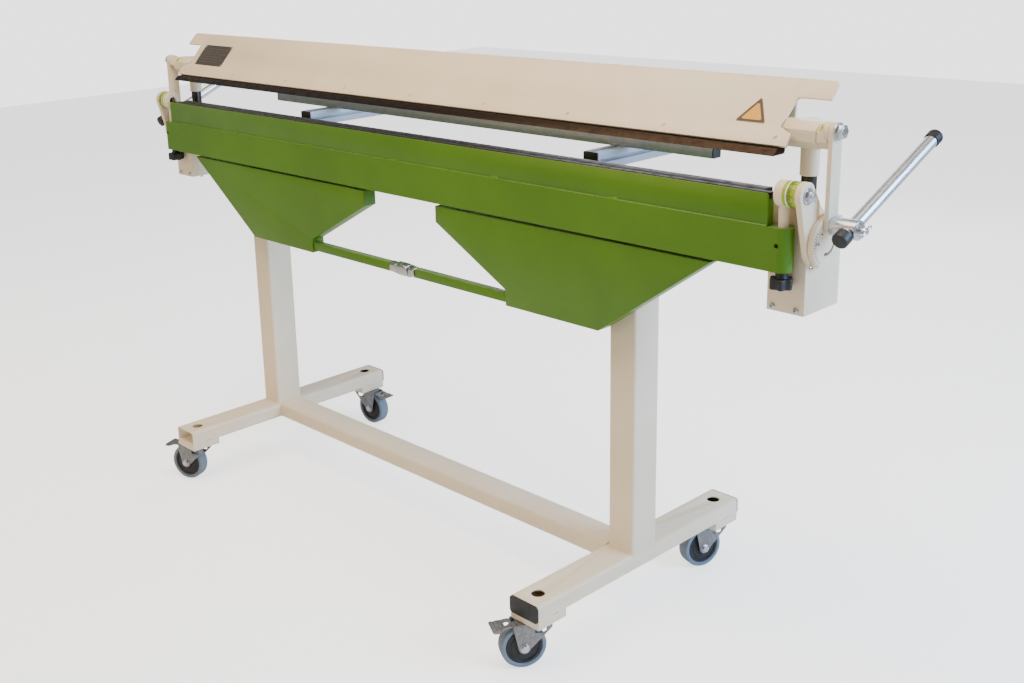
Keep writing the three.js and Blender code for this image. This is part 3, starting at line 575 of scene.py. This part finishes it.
def castor(where, heading):
    head = Span("castor_fork_" + where)
    x = side.cx if where.startswith("right") else -side.cx
    y = side.y0 + castor_in if where.endswith("front") else side.y1 - castor_in
    turn = Matrix.Translation((x, y, 0)) @ Matrix.Rotation(math.radians(heading), 4, "Z")
    fork, wheel, pedal = f"fork_{where}", f"wheel_{where}", f"pedal_{where}"

    def make(name, material, body, shapes, cuts=(), **options):
        piece(name + "_" + where, material, body, [moved(s, turn) for s in shapes],
              [moved(s, turn) for s in cuts], **options)

    cheek = [(-24, 104.5), (-25, 92), (trail - 14, axle_z - 3)] + arc(trail, axle_z, 13.5, 190, 350, 10)
    cheek += [(trail + 14.5, axle_z + 3), (59.5, 94), (57.5, 104.5)]
    plates = [prism("y", cheek, -cheek_out, -cheek_in), prism("y", cheek, cheek_in, cheek_out),
              block(-24.5, 51, -cheek_out, cheek_out, 102.4, 105.4)]
    window = prism("y", rounded(-12, 82, 14, 95, 4), -30, 30)
    make("castor_fork_finish", PRESSED, fork, plates, [window], joined=True, ease=0.8,
         nodes=["castor_fork_" + where])
    race = [(0, 105.0), (24.5, 105.0), (26.6, 107.0), (26.6, 110.6), (25.2, 111.3), (25.2, 112.3),
            (26.8, 113.0), (26.8, 116.6), (25.4, 118.2), (19.0, 118.6), (18.0, head.z1), (0, head.z1)]
    make("castor_race", PRESSED, fork, [lathe("z", (0, 0, 0), race, 56)])
    rivet = [(0, 98.9), (7.2, 99.2), (8.6, 100.6), (8.8, 102.6), (0, 102.6)]
    make("castor_kingpin", ZINC, fork, [lathe("z", (0, 0, 0), rivet, 30)])
    bolt = hex_bolt("y", (trail, -cheek_out, axle_z), 15.5, 4.6, 20.5, 1.4, -1)
    nut = hex_bolt("y", (trail, cheek_out, axle_z), 15.5, 4.6, 20.5, 1.4, 1)
    make("castor_axle", ZINC, fork, bolt + nut + [rod("y", (trail, 0, axle_z), 5.6, -cheek_out, cheek_out)],
         ease=0.2, segments=2)
    half_tread = [(38.8, 13.0), (41.2, 16.0), (46.2, 16.0), (48.4, 15.2), (49.7, 12.6), (50.0, 9.0)]
    half_rim = [(6.6, 17.2), (12.6, 17.2), (13.6, 16.4), (14.2, 12.8), (17.0, 12.2), (18.2, 13.6),
                (27.5, 13.6), (28.6, 12.4), (33.0, 12.4), (34.2, 14.2), (38.3, 14.6), (38.9, 13.4)]
    tread, rim = [[(r, -t) for r, t in half] + half[::-1] for half in (half_tread, half_rim)]
    make("castor_tread", TREAD, wheel, [lathe("y", (trail, 0, axle_z), tread, 96)],
         nodes=["castor_wheel_" + where], smooth=40)
    make("castor_hub", BLACK, wheel, [lathe("y", (trail, 0, axle_z), rim, 72)])
    reach = 104
    path = [(59.8, 101.4), (71, 101.4), (82, 98.4), (93, 95.2), (reach, 96.6)]
    thick = 1.7
    outline = [(u, v + thick) for u, v in path] + [(u, v - thick) for u, v in reversed(path)]
    flat = [(59.8, -17.5), (78, -18.3), (87, -23.6), (reach - 3, -23.8), (reach, -20.5), (reach, 20.5),
            (reach - 3, 23.8), (87, 23.6), (78, 18.3), (59.8, 17.5)]
    sheet = raw_object("pedal_sheet", [moved(prism("y", outline, -30, 30), turn)])
    plan = raw_object("pedal_plan", [moved(prism("z", flat, 85, 112), turn)])
    combine(sheet, plan, "INTERSECT")
    slots = [raw_object("pedal_slot", [moved(prism("z", rounded(65, -8, 76, 8, 2.5), 90, 112), turn)]),
             raw_object("pedal_hole", [moved(rod("z", (84, 0, 0), 2.6, 85, 112), turn)])]
    for slot in slots:
        combine(sheet, slot, "DIFFERENCE")
    softened(sheet, 0.6, 2)
    made = baked(sheet, "brake_pedal_finish_" + where)
    for helper in [plan] + slots:
        bpy.data.objects.remove(helper)
    settle(made, PRESSED, pedal, ["brake_pedal_" + where])
    dot = lathe("z", (0, 0, 0), [(0, -1.2), (2.2, -1.0), (1.9, 0.7), (0.9, 1.3), (0, 1.4)], 14)
    for row, (u, v) in enumerate(((91.5, 97.1), (98.5, 97.7))):
        first = moved(dot, turn @ Matrix.Translation((u, -16, v)))
        across = turn.to_3x3() @ Vector((0, 8, 0))
        repeated(f"pedal_grip_{row}_{where}", PRESSED, pedal, first, 5, across)


for where, heading in CASTORS:
    castor(where, heading)

# ------------------------------------------------------------------ lower beam, support plates and truss rods

from_cad("lower_beam", GREEN, "frame", 1.6)
from_cad("lower_blade", BLADE, "frame", 0.5)
cad_pair("support_plate", GREEN, "frame", 1.3, segments=3)
cad_pair("tension_rod", GREEN, "frame", 2.2, segments=3)

buckle = Span("turnbuckle")


def hex_barrel(a, b, flats, chamfer):
    r = flats / 2
    over = r / math.cos(math.pi / 6)
    return (prism("x", polygon(buckle.cy, buckle.cz, flats, 6, math.pi / 6), a, b),
            lathe("x", (0, buckle.cy, buckle.cz), [(0, a), (r * 0.97, a), (over + 0.1, a + chamfer),
                                                   (over + 0.1, b - chamfer), (r * 0.97, b), (0, b)], 60))


def turnbuckle():
    for name, a, b, flats in (("barrel", -21.5, 21.5, 31.5), ("nut_left", buckle.x0 + 0.5, -23.5, 27),
                              ("nut_right", 23.5, buckle.x1 - 0.5, 27)):
        hexagon, cone = hex_barrel(a, b, flats, 3.2)
        body = raw_object("turnbuckle_" + name, [hexagon])
        limit = raw_object("limit", [cone])
        combine(body, limit, "INTERSECT")
        softened(body, 0.5, 2)
        made = baked(body, "turnbuckle_" + name)
        bpy.data.objects.remove(limit)
        settle(made, ZINC, "turnbuckle", ["turnbuckle"] if name == "barrel" else ())


turnbuckle()
thread = ring("x", (0, buckle.cy, buckle.cz), 6.0, 9.6, -0.5, 0.5, 28)
for tag, start in (("left", -22.9), ("right", 22.0)):
    first = moved(thread, Matrix.Translation((start, 0, 0)))
    repeated("turnbuckle_thread_" + tag, ZINC, "turnbuckle", first, 2, (1.1, 0, 0))

# ------------------------------------------------------------------ end housings, arm plates, guide posts

house = Span("end_housing_right")
arm = Span("arm_plate_right")
disc = Span("crank_disc_right")
drum = Span("pivot_drum_right")
bend_y, bend_z = drum.cy, drum.cz
crank_y, crank_z = disc.cy, disc.cz
face_x = arm.x1

cad_pair("end_housing", CREAM, "frame", 1.4, segments=3)
screws = []
for x in (house.x0 + 12.5, house.x1 - 16.5):
    screws += dome_screw("y", (x, house.y0, house.z0 + 9), 11.5, 4.6, -1)
pair("housing_screws", ZINC, "frame", screws)
feet = []
for x in (house.x0 + 24, house.x1 - 24):
    feet += hex_bolt("z", (x, house.cy - 12, house.z0 + 12), 13, 6, 22, 1.6, -1)
    feet.append(rod("z", (x, house.cy - 12, 0), 4, house.z0 - 9, house.z0 + 12, 0.8, 24))
pair("housing_bolts", ZINC, "frame", feet, ease=0.2, segments=1)
floor_plate = block(house.x0 + 4, house.x1 - 4, house.y0 + 4, house.y1 - 6, house.z0 + 10.5, house.z0 + 13.5)
pair("housing_floor", CREAM, "frame", [floor_plate], ease=0.6)

low_r = 50.5
arm_shape = arc(bend_y, bend_z, 25, 180, 45, 26) + [(-21, 1011), (-21, crank_z + low_r - 3)]
arm_shape += arc(crank_y, crank_z, low_r, 100, -172, 60)
pair("arm_plate_finish", CREAM, "frame", [prism("x", arm_shape, arm.x0, arm.x1)],
     [rod("x", (0, y, z), r, arm.x0 - 1, arm.x1 + 1)
      for y, z, r in ((crank_y, crank_z, 15.4), (bend_y, bend_z, 8.4))], ease=1.0, nodes=["arm_plate"])
pivot_head = hex_bolt("x", (face_x, bend_y, bend_z), 19, 10, 31, 2.4)
pair("pivot_bolt", ZINC, "frame", pivot_head, ease=0.3, segments=2)
pair("arm_screw", ZINC, "frame", dome_screw("x", (face_x, -44, 893), 11, 4.2))

post = Span("guide_post_right")
guide_x, guide_y = 1051, 24


def guide_posts():
    seat = post.z0 + 8
    outline = [(0, seat), (14.4, seat), (14.4, post.z1 - 2), (12.8, post.z1), (0, post.z1)]
    flange = rounded(guide_x - 26, guide_y - 22, guide_x + 26, guide_y + 22, 6)
    shapes = [lathe("z", (guide_x, guide_y, 0), outline), prism("z", flange, post.z0, seat)]
    pair("guide_post_finish", OXIDE, "frame", shapes, ease=0.5, segments=2, nodes=["guide_post"])
    foot = Span("lift_arm_right").z0
    pair("guide_wiper", BLACK, "clamp", [ring("z", (guide_x, guide_y, 0), 14.7, 15.3, foot + 0.3, foot + 6)])


guide_posts()

# ------------------------------------------------------------------ folding beam and its pivots

fold = Span("folding_beam")
strip = Span("folding_blade")
hanger_x, hanger_y = Span("hanger_rod_right").cx, Span("hanger_rod_right").cy
box_top = strip.z0 - 0.3
box_mid, box_r = fold.cy, (fold.y1 - fold.y0) / 2
strip_half = strip.x1


def folding_beam():
    n = 22
    plan = arc(hanger_x, box_mid, box_r, -90, 90, n) + arc(-hanger_x, box_mid, box_r, 90, 270, n)
    cuts = []
    for s in (-1, 1):
        cuts.append(rod("z", (s * hanger_x, hanger_y, 0), 10.4, fold.z0 + 14, box_top + 2))
        cuts.append(rod("z", (s * hanger_x, hanger_y, 0), 6.4, fold.z0 - 2, fold.z0 + 16))
        cuts.append(rod("y", (s * hanger_x, 0, box_top - 33), 4.5, fold.y0 - 2, fold.y0 + 8, 0, 28))
    piece("folding_beam_finish", GREEN, "folding_beam", [prism("z", plan, fold.z0, box_top)], cuts, ease=3.2,
          segments=4, nodes=["folding_beam"], smooth=40)
    front = fold.y0 + 3.5
    upper = [(-strip_half, box_top - 2), (strip_half, box_top - 2), (strip_half, fold.z1 - 4),
             (strip_half - 4, fold.z1), (-strip_half + 4, fold.z1), (-strip_half, fold.z1 - 4)]
    piece("folding_strip", GREEN, "folding_beam", [prism("y", upper, front, front + 3)], ease=0.8, segments=2)
    ledge = [(front + 0.5, box_top - 1.5), (fold.y0 + 0.6, box_top - 1.5), (fold.y0 + 0.4, box_top + 1.2),
             (front + 0.5, box_top + 3.2)]
    piece("folding_ledge", GREEN, "folding_beam", [prism("x", ledge, -strip_half, strip_half)], ease=0.7)
    tab = [(front + 0.4, -3), (fold.y0 + 0.9, -3), (fold.y0 + 0.9, 0.8), (front + 0.4, 4.6)]
    first = moved(prism("x", tab, -13, 13), Matrix.Translation((-688, 0, box_top + 1.5)))
    repeated("folding_ledge_tab", GREEN, "folding_beam", first, 5, (340, 0, 0), ease=1.2)


folding_beam()
bar_foot = strip.z1 - 12
piece("folding_blade_finish", BLADE, "folding_beam",
      [block(strip.x0, strip.x1, strip.y0, strip.y1, bar_foot + 0.3, strip.z1)], ease=0.6,
      nodes=["folding_blade"])
piece("folding_blade_backing", GREEN, "folding_beam",
      [block(strip.x0, strip.x1, strip.y0, strip.y1, strip.z0, bar_foot)], ease=0.8)
cad_pair("hanger_rod", CREAM, "folding_frame", 0.0)


def drums():
    a, b = drum.x0, house.x1
    axis = (0, bend_y, bend_z)
    shell = [(11, a), (22.8, a), (24, a + 1.2), (24, b - 1.2), (22.8, b), (8, b), (8, arm.x1), (0, arm.x1),
             (0, a + 24), (11, a + 24)]
    pair("pivot_drum_finish", CREAM, "folding_frame", [lathe("x", axis, shell, 96)], nodes=["pivot_drum"])
    pair("drum_label", LIME, "folding_frame", [ring("x", axis, 23.8, 24.22, a + 18, a + 24.6, 96),
                                               ring("x", axis, 23.8, 24.22, a + 27, a + 43.5, 96)])
    pair("drum_line", WHITE, "folding_frame", [ring("x", axis, 23.8, 24.2, a + 24.6, a + 27, 96)])
    # Painted shade: a black disc at the bottom of the drum's bore, standing for the shade inside it.
    pair("drum_plug", BORE_SHADE, "folding_frame", [rod("x", axis, 10.9, a + 22.6, a + 24.4)])
    for tag, sign in SIDES:
        for label, length, count in (("fine", 8.0, 60), ("long", 12.5, 12)):
            mark = block(a + 27.4, a + 27.4 + length, -0.55, 0.55, 24.05, 24.34)
            mark = sided(moved(mark, Matrix.Translation(axis)), sign)
            repeated(f"drum_ticks_{label}_{tag}", INK, "folding_frame", mark, count, turn=(360 / count, 0, 0),
                     centre=axis)


drums()


def star_knobs():
    knob = Span("star_knob_right")
    top = fold.z0 - 13
    lobes = []
    steps = 96
    for i in range(steps):
        a = 2 * math.pi * i / steps
        r = 20.1 + 2.7 * math.cos(6 * a)
        lobes.append((hanger_x + r * math.cos(a), hanger_y + r * math.sin(a)))
    pair("star_knob_finish", BLACK, "knob_{}", [prism("z", lobes, knob.z0 + 0.4, top)], ease=3.4, segments=4,
         nodes=["star_knob"], smooth=45)
    neck = [(0, top - 2), (13.5, top - 2), (11.6, top + 1.5), (10.6, fold.z0 - 3), (10.6, fold.z0 - 2.4),
            (12.2, fold.z0 - 2.2), (12.2, fold.z0 - 0.4), (0, fold.z0 - 0.4)]
    axis = (hanger_x, hanger_y, 0)
    pair("star_knob_neck", BLACK, "knob_{}", [lathe("z", axis, neck)])
    pair("star_knob_screw", ZINC, "knob_{}", [rod("z", axis, 5.8, fold.z0 - 2, knob.z1, 0.8, 30)])
    pair("star_knob_insert", PHOSPHATE, "knob_{}", [rod("z", axis, 8.5, knob.z0 + 0.1, knob.z0 + 3, 0.5, 30)])


star_knobs()

# ------------------------------------------------------------------ clamping beam

arm_lift = Span("lift_arm_right")
collar = Span("height_adjuster_right")
strap = Span("strap_right")
lift_z = strap.z1 - (strap.y1 - strap.y0) / 2
bar_y, bar_z = arm_lift.y0 + 25, arm_lift.z1 - 25
slope_top = Vector((0, 61.2, 1217.8))
slope_foot = Vector((0, -41, 1108.6))
down = (slope_foot - slope_top).normalized()
inward = Vector((1, 0, 0)).cross(down)
slope = Matrix.Translation(slope_top) @ Matrix(((1, 0, 0), tuple(down), tuple(inward))).transposed().to_4x4()

from_cad("clamp_beam", CREAM, "clamp", 1.1, segments=3)
from_cad("clamp_blade", BLADE, "clamp", 0.7)
cad_pair("lift_arm", CREAM, "clamp", 0.9)


def on_slope(shape):
    """Moves a shape drawn in x, distance down the slope and height above it on to the cover plate."""
    flip = Matrix(((1, 0, 0, 0), (0, 1, 0, 0), (0, 0, -1, 0), (0, 0, 0, 1)))
    return moved(shape, slope @ flip)


def cover_plate_details():
    head = [(0, -0.6), (4.6, -0.6), (4.6, 0.2), (4.0, 0.7), (0, 0.8)]
    first, screw_down, pitch = Matrix.Translation((-1010, 0, 0)), 132.6, (252.6, 0, 0)
    screw = moved(on_slope(lathe("z", (0, screw_down, 0), head, 24)), first)
    repeated("cover_screws", CREAM, "clamp", screw, 9, pitch)
    # Painted shade: a thin black bar on each screw head stands for the shade in its slot, which is not cut.
    slant = Matrix.Translation((0, screw_down, 0)) @ Matrix.Rotation(math.radians(-50), 4, "Z")
    slot = on_slope(moved(block(-3.9, 3.9, -0.7, 0.7, 0.5, 0.95), slant))
    repeated("cover_screw_slots", BORE_SHADE, "clamp", moved(slot, first), 9, pitch)
    x0, x1, s0, s1 = -984, -845, 40, 111
    piece("rating_plate", PLATE_FILM, "clamp", [on_slope(prism("z", rounded(x0, s0, x1, s1, 4), -0.2, 0.7))],
          ease=0.2, segments=1)
    rows = []
    for i in range(6):
        s = s0 + 12 + i * 9
        rows.append(on_slope(block(x0 + 9, x1 - 9 - (18 if i % 2 else 0), s, s + 2.2, 0.6, 0.78)))
    piece("rating_plate_rules", PHOSPHATE, "clamp", rows)
    rivets = []
    for x in (x0 + 5, x1 - 5):
        for s in (s0 + 5, s1 - 5):
            rivet = [(0, 0.4), (2.2, 0.5), (1.7, 1.4), (0, 1.7)]
            rivets.append(on_slope(lathe("z", (x, s, 0), rivet, 16)))
    piece("rating_plate_rivets", ZINC, "clamp", rivets)

    def triangle(size, low, high):
        centre_x, centre_s = 942.5, 87
        points = []
        for k in range(3):
            a = math.radians(-90 + 120 * k)
            corner = (centre_x + size * math.cos(a), centre_s + size * math.sin(a))
            points += arc(corner[0] - 4.5 * math.cos(a), corner[1] - 4.5 * math.sin(a), 3.0,
                          -90 + 120 * k - 60, -90 + 120 * k + 60, 6)
        return on_slope(prism("z", points, low, high))

    piece("triangle_edge", AMBER, "clamp", [triangle(38, -0.2, 0.3)])
    piece("triangle_rim", INK, "clamp", [triangle(36, 0.1, 0.45)])
    piece("triangle_centre", AMBER, "clamp", [triangle(25, 0.3, 0.62)])


cover_plate_details()


def adjusters():
    a, b = collar.x0, collar.x1
    boss = b - 9
    body = prism("x", polygon(bar_y, bar_z, 46, 8, math.pi / 8), a, boss)
    pair("height_adjuster_finish", CREAM, "adjuster_{}", [body], ease=0.9, nodes=["height_adjuster"])
    pair("height_adjuster_boss", CREAM, "adjuster_{}",
         [rod("x", (0, crank_y, lift_z), 16.4, boss - 3, b, 1.0, 64)])
    facet = Matrix.Translation((0, bar_y, bar_z)) @ Matrix.Rotation(math.radians(45), 4, "X")
    pair("adjuster_label", LIME, "adjuster_{}", [moved(block(a + 3, a + 13.5, -8.4, 8.4, 22.8, 23.3), facet)],
         ease=0.15, segments=1)
    dot = rod("z", (a + 8.2, 0, 0), 1.7, 23.2, 23.5, sides=20)
    pair("adjuster_dot", INK, "adjuster_{}", [moved(dot, facet)])


adjusters()

# ------------------------------------------------------------------ straps, cranks and levers

hub = Span("lever_hub_right")
pin_z = hub.cz


def straps():
    r = (strap.y1 - strap.y0) / 2
    outline = arc(crank_y, lift_z, r, 0, 180, 36) + arc(crank_y, pin_z, r, 180, 360, 36)
    pair("strap_finish", CREAM, "strap_{}", [prism("x", outline, strap.x0, strap.x1)],
         [rod("x", (0, crank_y, pin_z), 13.4, strap.x0 - 1, strap.x1 + 1)], ease=1.0, nodes=["strap"])
    pair("strap_bolt", ZINC, "strap_{}", hex_bolt("x", (strap.x1, crank_y, lift_z), 24, 11, 33, 3), ease=0.3,
         segments=2)


straps()


def cranks():
    a, b = disc.x0, strap.x0 - 0.3
    rim = [(0, a), (46.3, a), (47.5, a + 1.2), (47.5, a + 4.4), (46.9, a + 4.9), (46.9, a + 7.1),
           (47.5, a + 7.6), (47.5, b - 1.3), (46.2, b), (0, b)]
    slot = arc(crank_y, crank_z, 26.0, -112, 50, 30) + arc(crank_y, crank_z, 20.0, 50, -112, 30)
    pair("crank_disc_finish", CREAM, "crank", [lathe("x", (0, crank_y, crank_z), rim, 112)],
         [prism("x", slot, b - 6, b + 2)], nodes=["crank_disc"], smooth=30)
    pair("crank_pin", ZINC, "crank", [rod("x", (0, crank_y, pin_z), 12.9, b - 1, hub.x0 + 2, 0.4, 64)])
    # Painted shade: a black sheet at the floor of the cut slot, standing for the shade inside it.
    pair("crank_slot_floor", BORE_SHADE, "crank", [prism("x", slot, b - 6.2, b - 5.4)])
    fixings = dome_screw("x", (b, crank_y - 23, crank_z + 19), 9, 3.4)
    fixings += dome_screw("x", (b, crank_y - 34, crank_z + 2), 9, 3.4)
    pair("crank_screws", ZINC, "crank", fixings)
    axis = (0, crank_y, crank_z)
    start = Matrix.Translation(axis) @ Matrix.Rotation(math.radians(58), 4, "X")
    for tag, sign in SIDES:
        mark = sided(moved(block(b - 0.1, b + 0.22, -0.5, 0.5, 38.5, 44.5), start), sign)
        repeated(f"crank_scale_{tag}", INK, "crank", mark, 13, turn=(7.5, 0, 0), centre=axis)


cranks()
from_cad("cross_shaft", ZINC, "crank", 0.6)

lever_x = Span("lever_tube_right").cx
tilt = Matrix.Translation((lever_x, crank_y, pin_z)) @ Matrix.Rotation(math.radians(23.5), 4, "X")


def lever():
    a, b, tip = hub.x0, hub.x0 + 53, hub.x1
    axis = (0, crank_y, pin_z)
    barrel = [(0, a), (17.3, a), (18.5, a + 1.2), (18.5, b - 1.6), (16.9, b), (0, b)]
    tube_bore = moved(rod("y", (0, 0, 0), 12.9, -40, 40, sides=56), tilt)
    screw_bore = rod("z", (a + 9, crank_y, 0), 3.2, pin_z + 10, pin_z + 30, sides=24)
    pair("lever_hub_finish", ZINC, "crank", [lathe("x", axis, barrel, 80)], [tube_bore, screw_bore], ease=0.5,
         segments=2, nodes=["lever_hub"], smooth=35)
    set_screw = rod("z", (a + 9, crank_y, 0), 3.0, pin_z + 9.5, pin_z + 16.2, 0.4, 20)
    pair("lever_set_screw", PHOSPHATE, "crank", [set_screw])
    stud = [(0, b - 2), (4.6, b - 2), (4.6, b + 3.5), (7.2, b + 4.2), (7.2, b + 9), (5.2, b + 10.2),
            (5.2, tip - 0.8), (4.4, tip), (0, tip)]
    cross = Matrix.Translation((b + 11.2 - lever_x, 0, 0)) @ tilt
    bar = [moved(rod("y", (0, 0, 0), 2.9, -16, 16, 0.8, 28), cross)]
    for e in (-14.6, 14.6):
        ball = [(0, e - 3.4), (2.6, e - 2.6), (3.7, e), (2.6, e + 2.6), (0, e + 3.4)]
        bar.append(moved(lathe("y", (0, 0, 0), ball, 24), cross))
    pair("thumb_screw", ZINC, "crank", [lathe("x", axis, stud, 40)] + bar, smooth=40)
    tube = [(10.2, -29.5), (12.5, -29.5), (12.5, 318), (10.2, 318)]
    grip = [(12.7, 300.5), (14.0, 300.5), (14.7, 301.5), (14.7, 318.6), (13.4, 321.4), (10.5, 322), (0, 322),
            (0, 318.3), (12.7, 318.3)]
    cap = [(0, -42), (11.5, -42), (14.6, -40.6), (15.5, -38.6), (15.5, -21.5), (14.8, -20.7), (12.9, -20.7),
           (12.9, -31), (0, -31)]
    for name, finish, profile, sides, nodes in (("lever_tube_finish", TUBE, tube, 72, ["lever_tube"]),
                                                ("lever_grip_finish", BLACK, grip, 64, ["lever_grip"]),
                                                ("lever_cap", BLACK, cap, 64, ())):
        pair(name, finish, "handle_{}", [moved(lathe("y", (0, 0, 0), profile, sides), tilt)], nodes=nodes)
    rib = moved(ring("y", (0, 0, 0), 14.4, 15.0, -0.8, 0.8), tilt @ Matrix.Translation((0, 304.0, 0)))
    step = tilt.to_3x3() @ Vector((0, 3.1, 0))
    for tag, sign in SIDES:
        repeated(f"grip_ribs_upper_{tag}", BLACK, f"handle_{tag}", sided(rib, sign), 5, step, ease=0.3)


lever()

# ------------------------------------------------------------------ back gauge

rail = Span("gauge_rail_right")
bar = Span("gauge_bar")


def slotted(c_u, c_v, half):
    """Square extrusion outline with an undercut slot in each face."""
    mouth, cheek, lip, floor_at, corner_r = 4.0, 7.5, half - 1.8, half - 9.0, 1.2
    right_half = [(mouth, half), (mouth, lip), (cheek, lip), (cheek, half - 4.5), (cheek - 3, floor_at)]
    quarter = arc(half - corner_r, half - corner_r, corner_r, 0, 90, 3) + right_half
    quarter += [(-u, v) for u, v in reversed(right_half)]
    outline = []
    for k in range(4):
        c, s = math.cos(math.radians(90 * k)), math.sin(math.radians(90 * k))
        outline += [(c_u + u * c - v * s, c_v + u * s + v * c) for u, v in quarter]
    return outline


def gauge():
    half = (rail.x1 - rail.x0) / 2
    section = slotted(rail.cx, rail.cz, half)
    bore = rod("y", (rail.cx, 0, rail.cz), 3.4, rail.y0 - 1, rail.y1 + 1, sides=24)
    pair("gauge_rail_finish", ALUMINIUM, "frame", [prism("y", section, rail.y0 + 3.2, rail.y1 - 3)], [bore],
         nodes=["gauge_rail"], smooth=25)
    cap = rounded(rail.x0, rail.z0, rail.x1, rail.z1, 2)
    caps = [prism("y", cap, rail.y0, rail.y0 + 3.2), prism("y", cap, rail.y1 - 3, rail.y1)]
    pair("gauge_rail_caps", BLACK, "frame", caps, ease=0.7, segments=2)
    y, z = bar.y0, bar.z1
    section = [(y, bar.z0), (bar.y1, bar.z0), (bar.y1, z), (y + 17, z), (y + 17, z - 2), (y + 20, z - 2),
               (y + 20, z - 7), (y + 6, z - 7), (y + 6, z - 2), (y + 9, z - 2), (y + 9, z), (y, z)]
    piece("gauge_bar_finish", ALUMINIUM_BAR, "gauge_bar", [prism("x", section, bar.x0 + 3, bar.x1 - 3)],
          ease=0.5, segments=2, nodes=["gauge_bar"], smooth=25)
    end = prism("x", rounded(bar.y0, bar.z0, bar.y1, bar.z1, 2), bar.x1 - 3, bar.x1)
    piece("gauge_bar_caps", BLACK, "gauge_bar", [end, sided(end, -1)], ease=0.7, segments=2)
    clamps = []
    for s in (-1, 1):
        clamps += hex_bolt("z", (s * rail.cx, bar.y0 + 13, bar.z1 - 0.2), 13, 6, 20, 1.6)
    piece("gauge_bar_bolts", ZINC, "gauge_bar", clamps, ease=0.25, segments=1)


gauge()

# ------------------------------------------------------------------ floor, light and camera

def matt_floor():
    """Matt painted studio floor, nearly white, that glows to the camera only so that it stays bright."""
    made, tree, here = blank("matt_painted_floor")
    cloud = add(tree, "ShaderNodeTexNoise", {"Vector": here, "Scale": per_metre(714), "Detail": 4.0})
    colour = add(tree, "ShaderNodeMix", {0: cloud, 6: linear("#f1f1ef"), 7: linear("#ecebe8")}, 2,
                 data_type="RGBA")
    seen = add(tree, "ShaderNodeLightPath", out="Is Camera Ray")
    glow = add(tree, "ShaderNodeMapRange", {0: seen, 1: 0.0, 2: 1.0, 3: 0.0, 4: 1.5})
    grit = add(tree, "ShaderNodeTexNoise", {"Vector": here, "Scale": per_metre(7.69), "Detail": 3.0})
    finish_shader(tree, {"Base Color": colour, "Roughness": 0.75, "Emission Color": linear("#ffffff"),
                         "Emission Strength": glow}, (grit, 0.04, 0.5))
    return made


floor = raw_object("floor", [block(-9000, 9000, -9000, 9000, -20, -0.5)])
floor.data.materials.append(matt_floor())
floor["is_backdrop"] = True


def studio():
    """A pale sky that lights softly and looks white behind the machine."""
    world = bpy.data.worlds.new("studio")
    bpy.context.scene.world = world
    world.use_nodes = True
    tree = world.node_tree
    tree.nodes.clear()
    sky = add(tree, "ShaderNodeBackground", {"Color": linear("#f4f6f8"), "Strength": 0.48})
    bright = add(tree, "ShaderNodeBackground", {"Color": linear("#ffffff"), "Strength": 2.6})
    seen = add(tree, "ShaderNodeLightPath", out="Is Camera Ray")
    either = add(tree, "ShaderNodeMixShader", {0: seen, 1: sky, 2: bright})
    add(tree, "ShaderNodeOutputWorld", {"Surface": either})


studio()


def lamp(name, place, target, size, power, colour):
    """A softbox in metres and watts, aimed at target."""
    data = bpy.data.lights.new(name, "AREA")
    data.shape = "RECTANGLE"
    data.size, data.size_y = size
    data.energy = power
    data.color = linear(colour)[:3]
    made = bpy.data.objects.new(name, data)
    made.location = place
    made.rotation_euler = (Vector(target) - Vector(place)).to_track_quat("-Z", "Y").to_euler()
    bpy.context.scene.collection.objects.link(made)


lamp("window_light", (4.1, 1.5, 2.3), (0.2, 0, 0.8), (2.4, 2.2), 300, "#b2d2ff")
lamp("top_light", (0.4, -0.6, 3.6), (0, 0.1, 0.9), (3.4, 2.0), 135, "#ffe9c8")
lamp("front_fill", (-1.8, -4.0, 1.9), (0, 0, 0.8), (2.6, 2.0), 46, "#ffd096")
lamp("back_fill", (-1.2, 3.6, 2.2), (0, 0, 0.9), (2.6, 2.0), 45, "#f2f6ff")


def camera():
    """A 44 mm lens set low to the right of the machine and looking down 16 degrees."""
    azimuth, elevation, roll = math.radians(48.302), math.radians(15.970), math.radians(-2.033)
    forward = Vector((-math.sin(azimuth) * math.cos(elevation), math.cos(azimuth) * math.cos(elevation),
                      -math.sin(elevation)))
    level = Vector((math.cos(azimuth), math.sin(azimuth), 0))
    upward = level.cross(forward)
    right = level * math.cos(roll) + upward * math.sin(roll)
    up = upward * math.cos(roll) - level * math.sin(roll)
    data = bpy.data.cameras.new("camera")
    data.sensor_width = 36
    data.lens = 44.14
    data.shift_x, data.shift_y = 0.0782, -0.0598
    data.clip_end = 60
    made = bpy.data.objects.new("camera", data)
    turn = Matrix((right, up, -forward)).transposed().to_4x4()
    made.matrix_world = Matrix.Translation((2.27953, -2.01001, 1.52130)) @ turn
    bpy.context.scene.collection.objects.link(made)
    bpy.context.scene.camera = made


camera()

low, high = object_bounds()
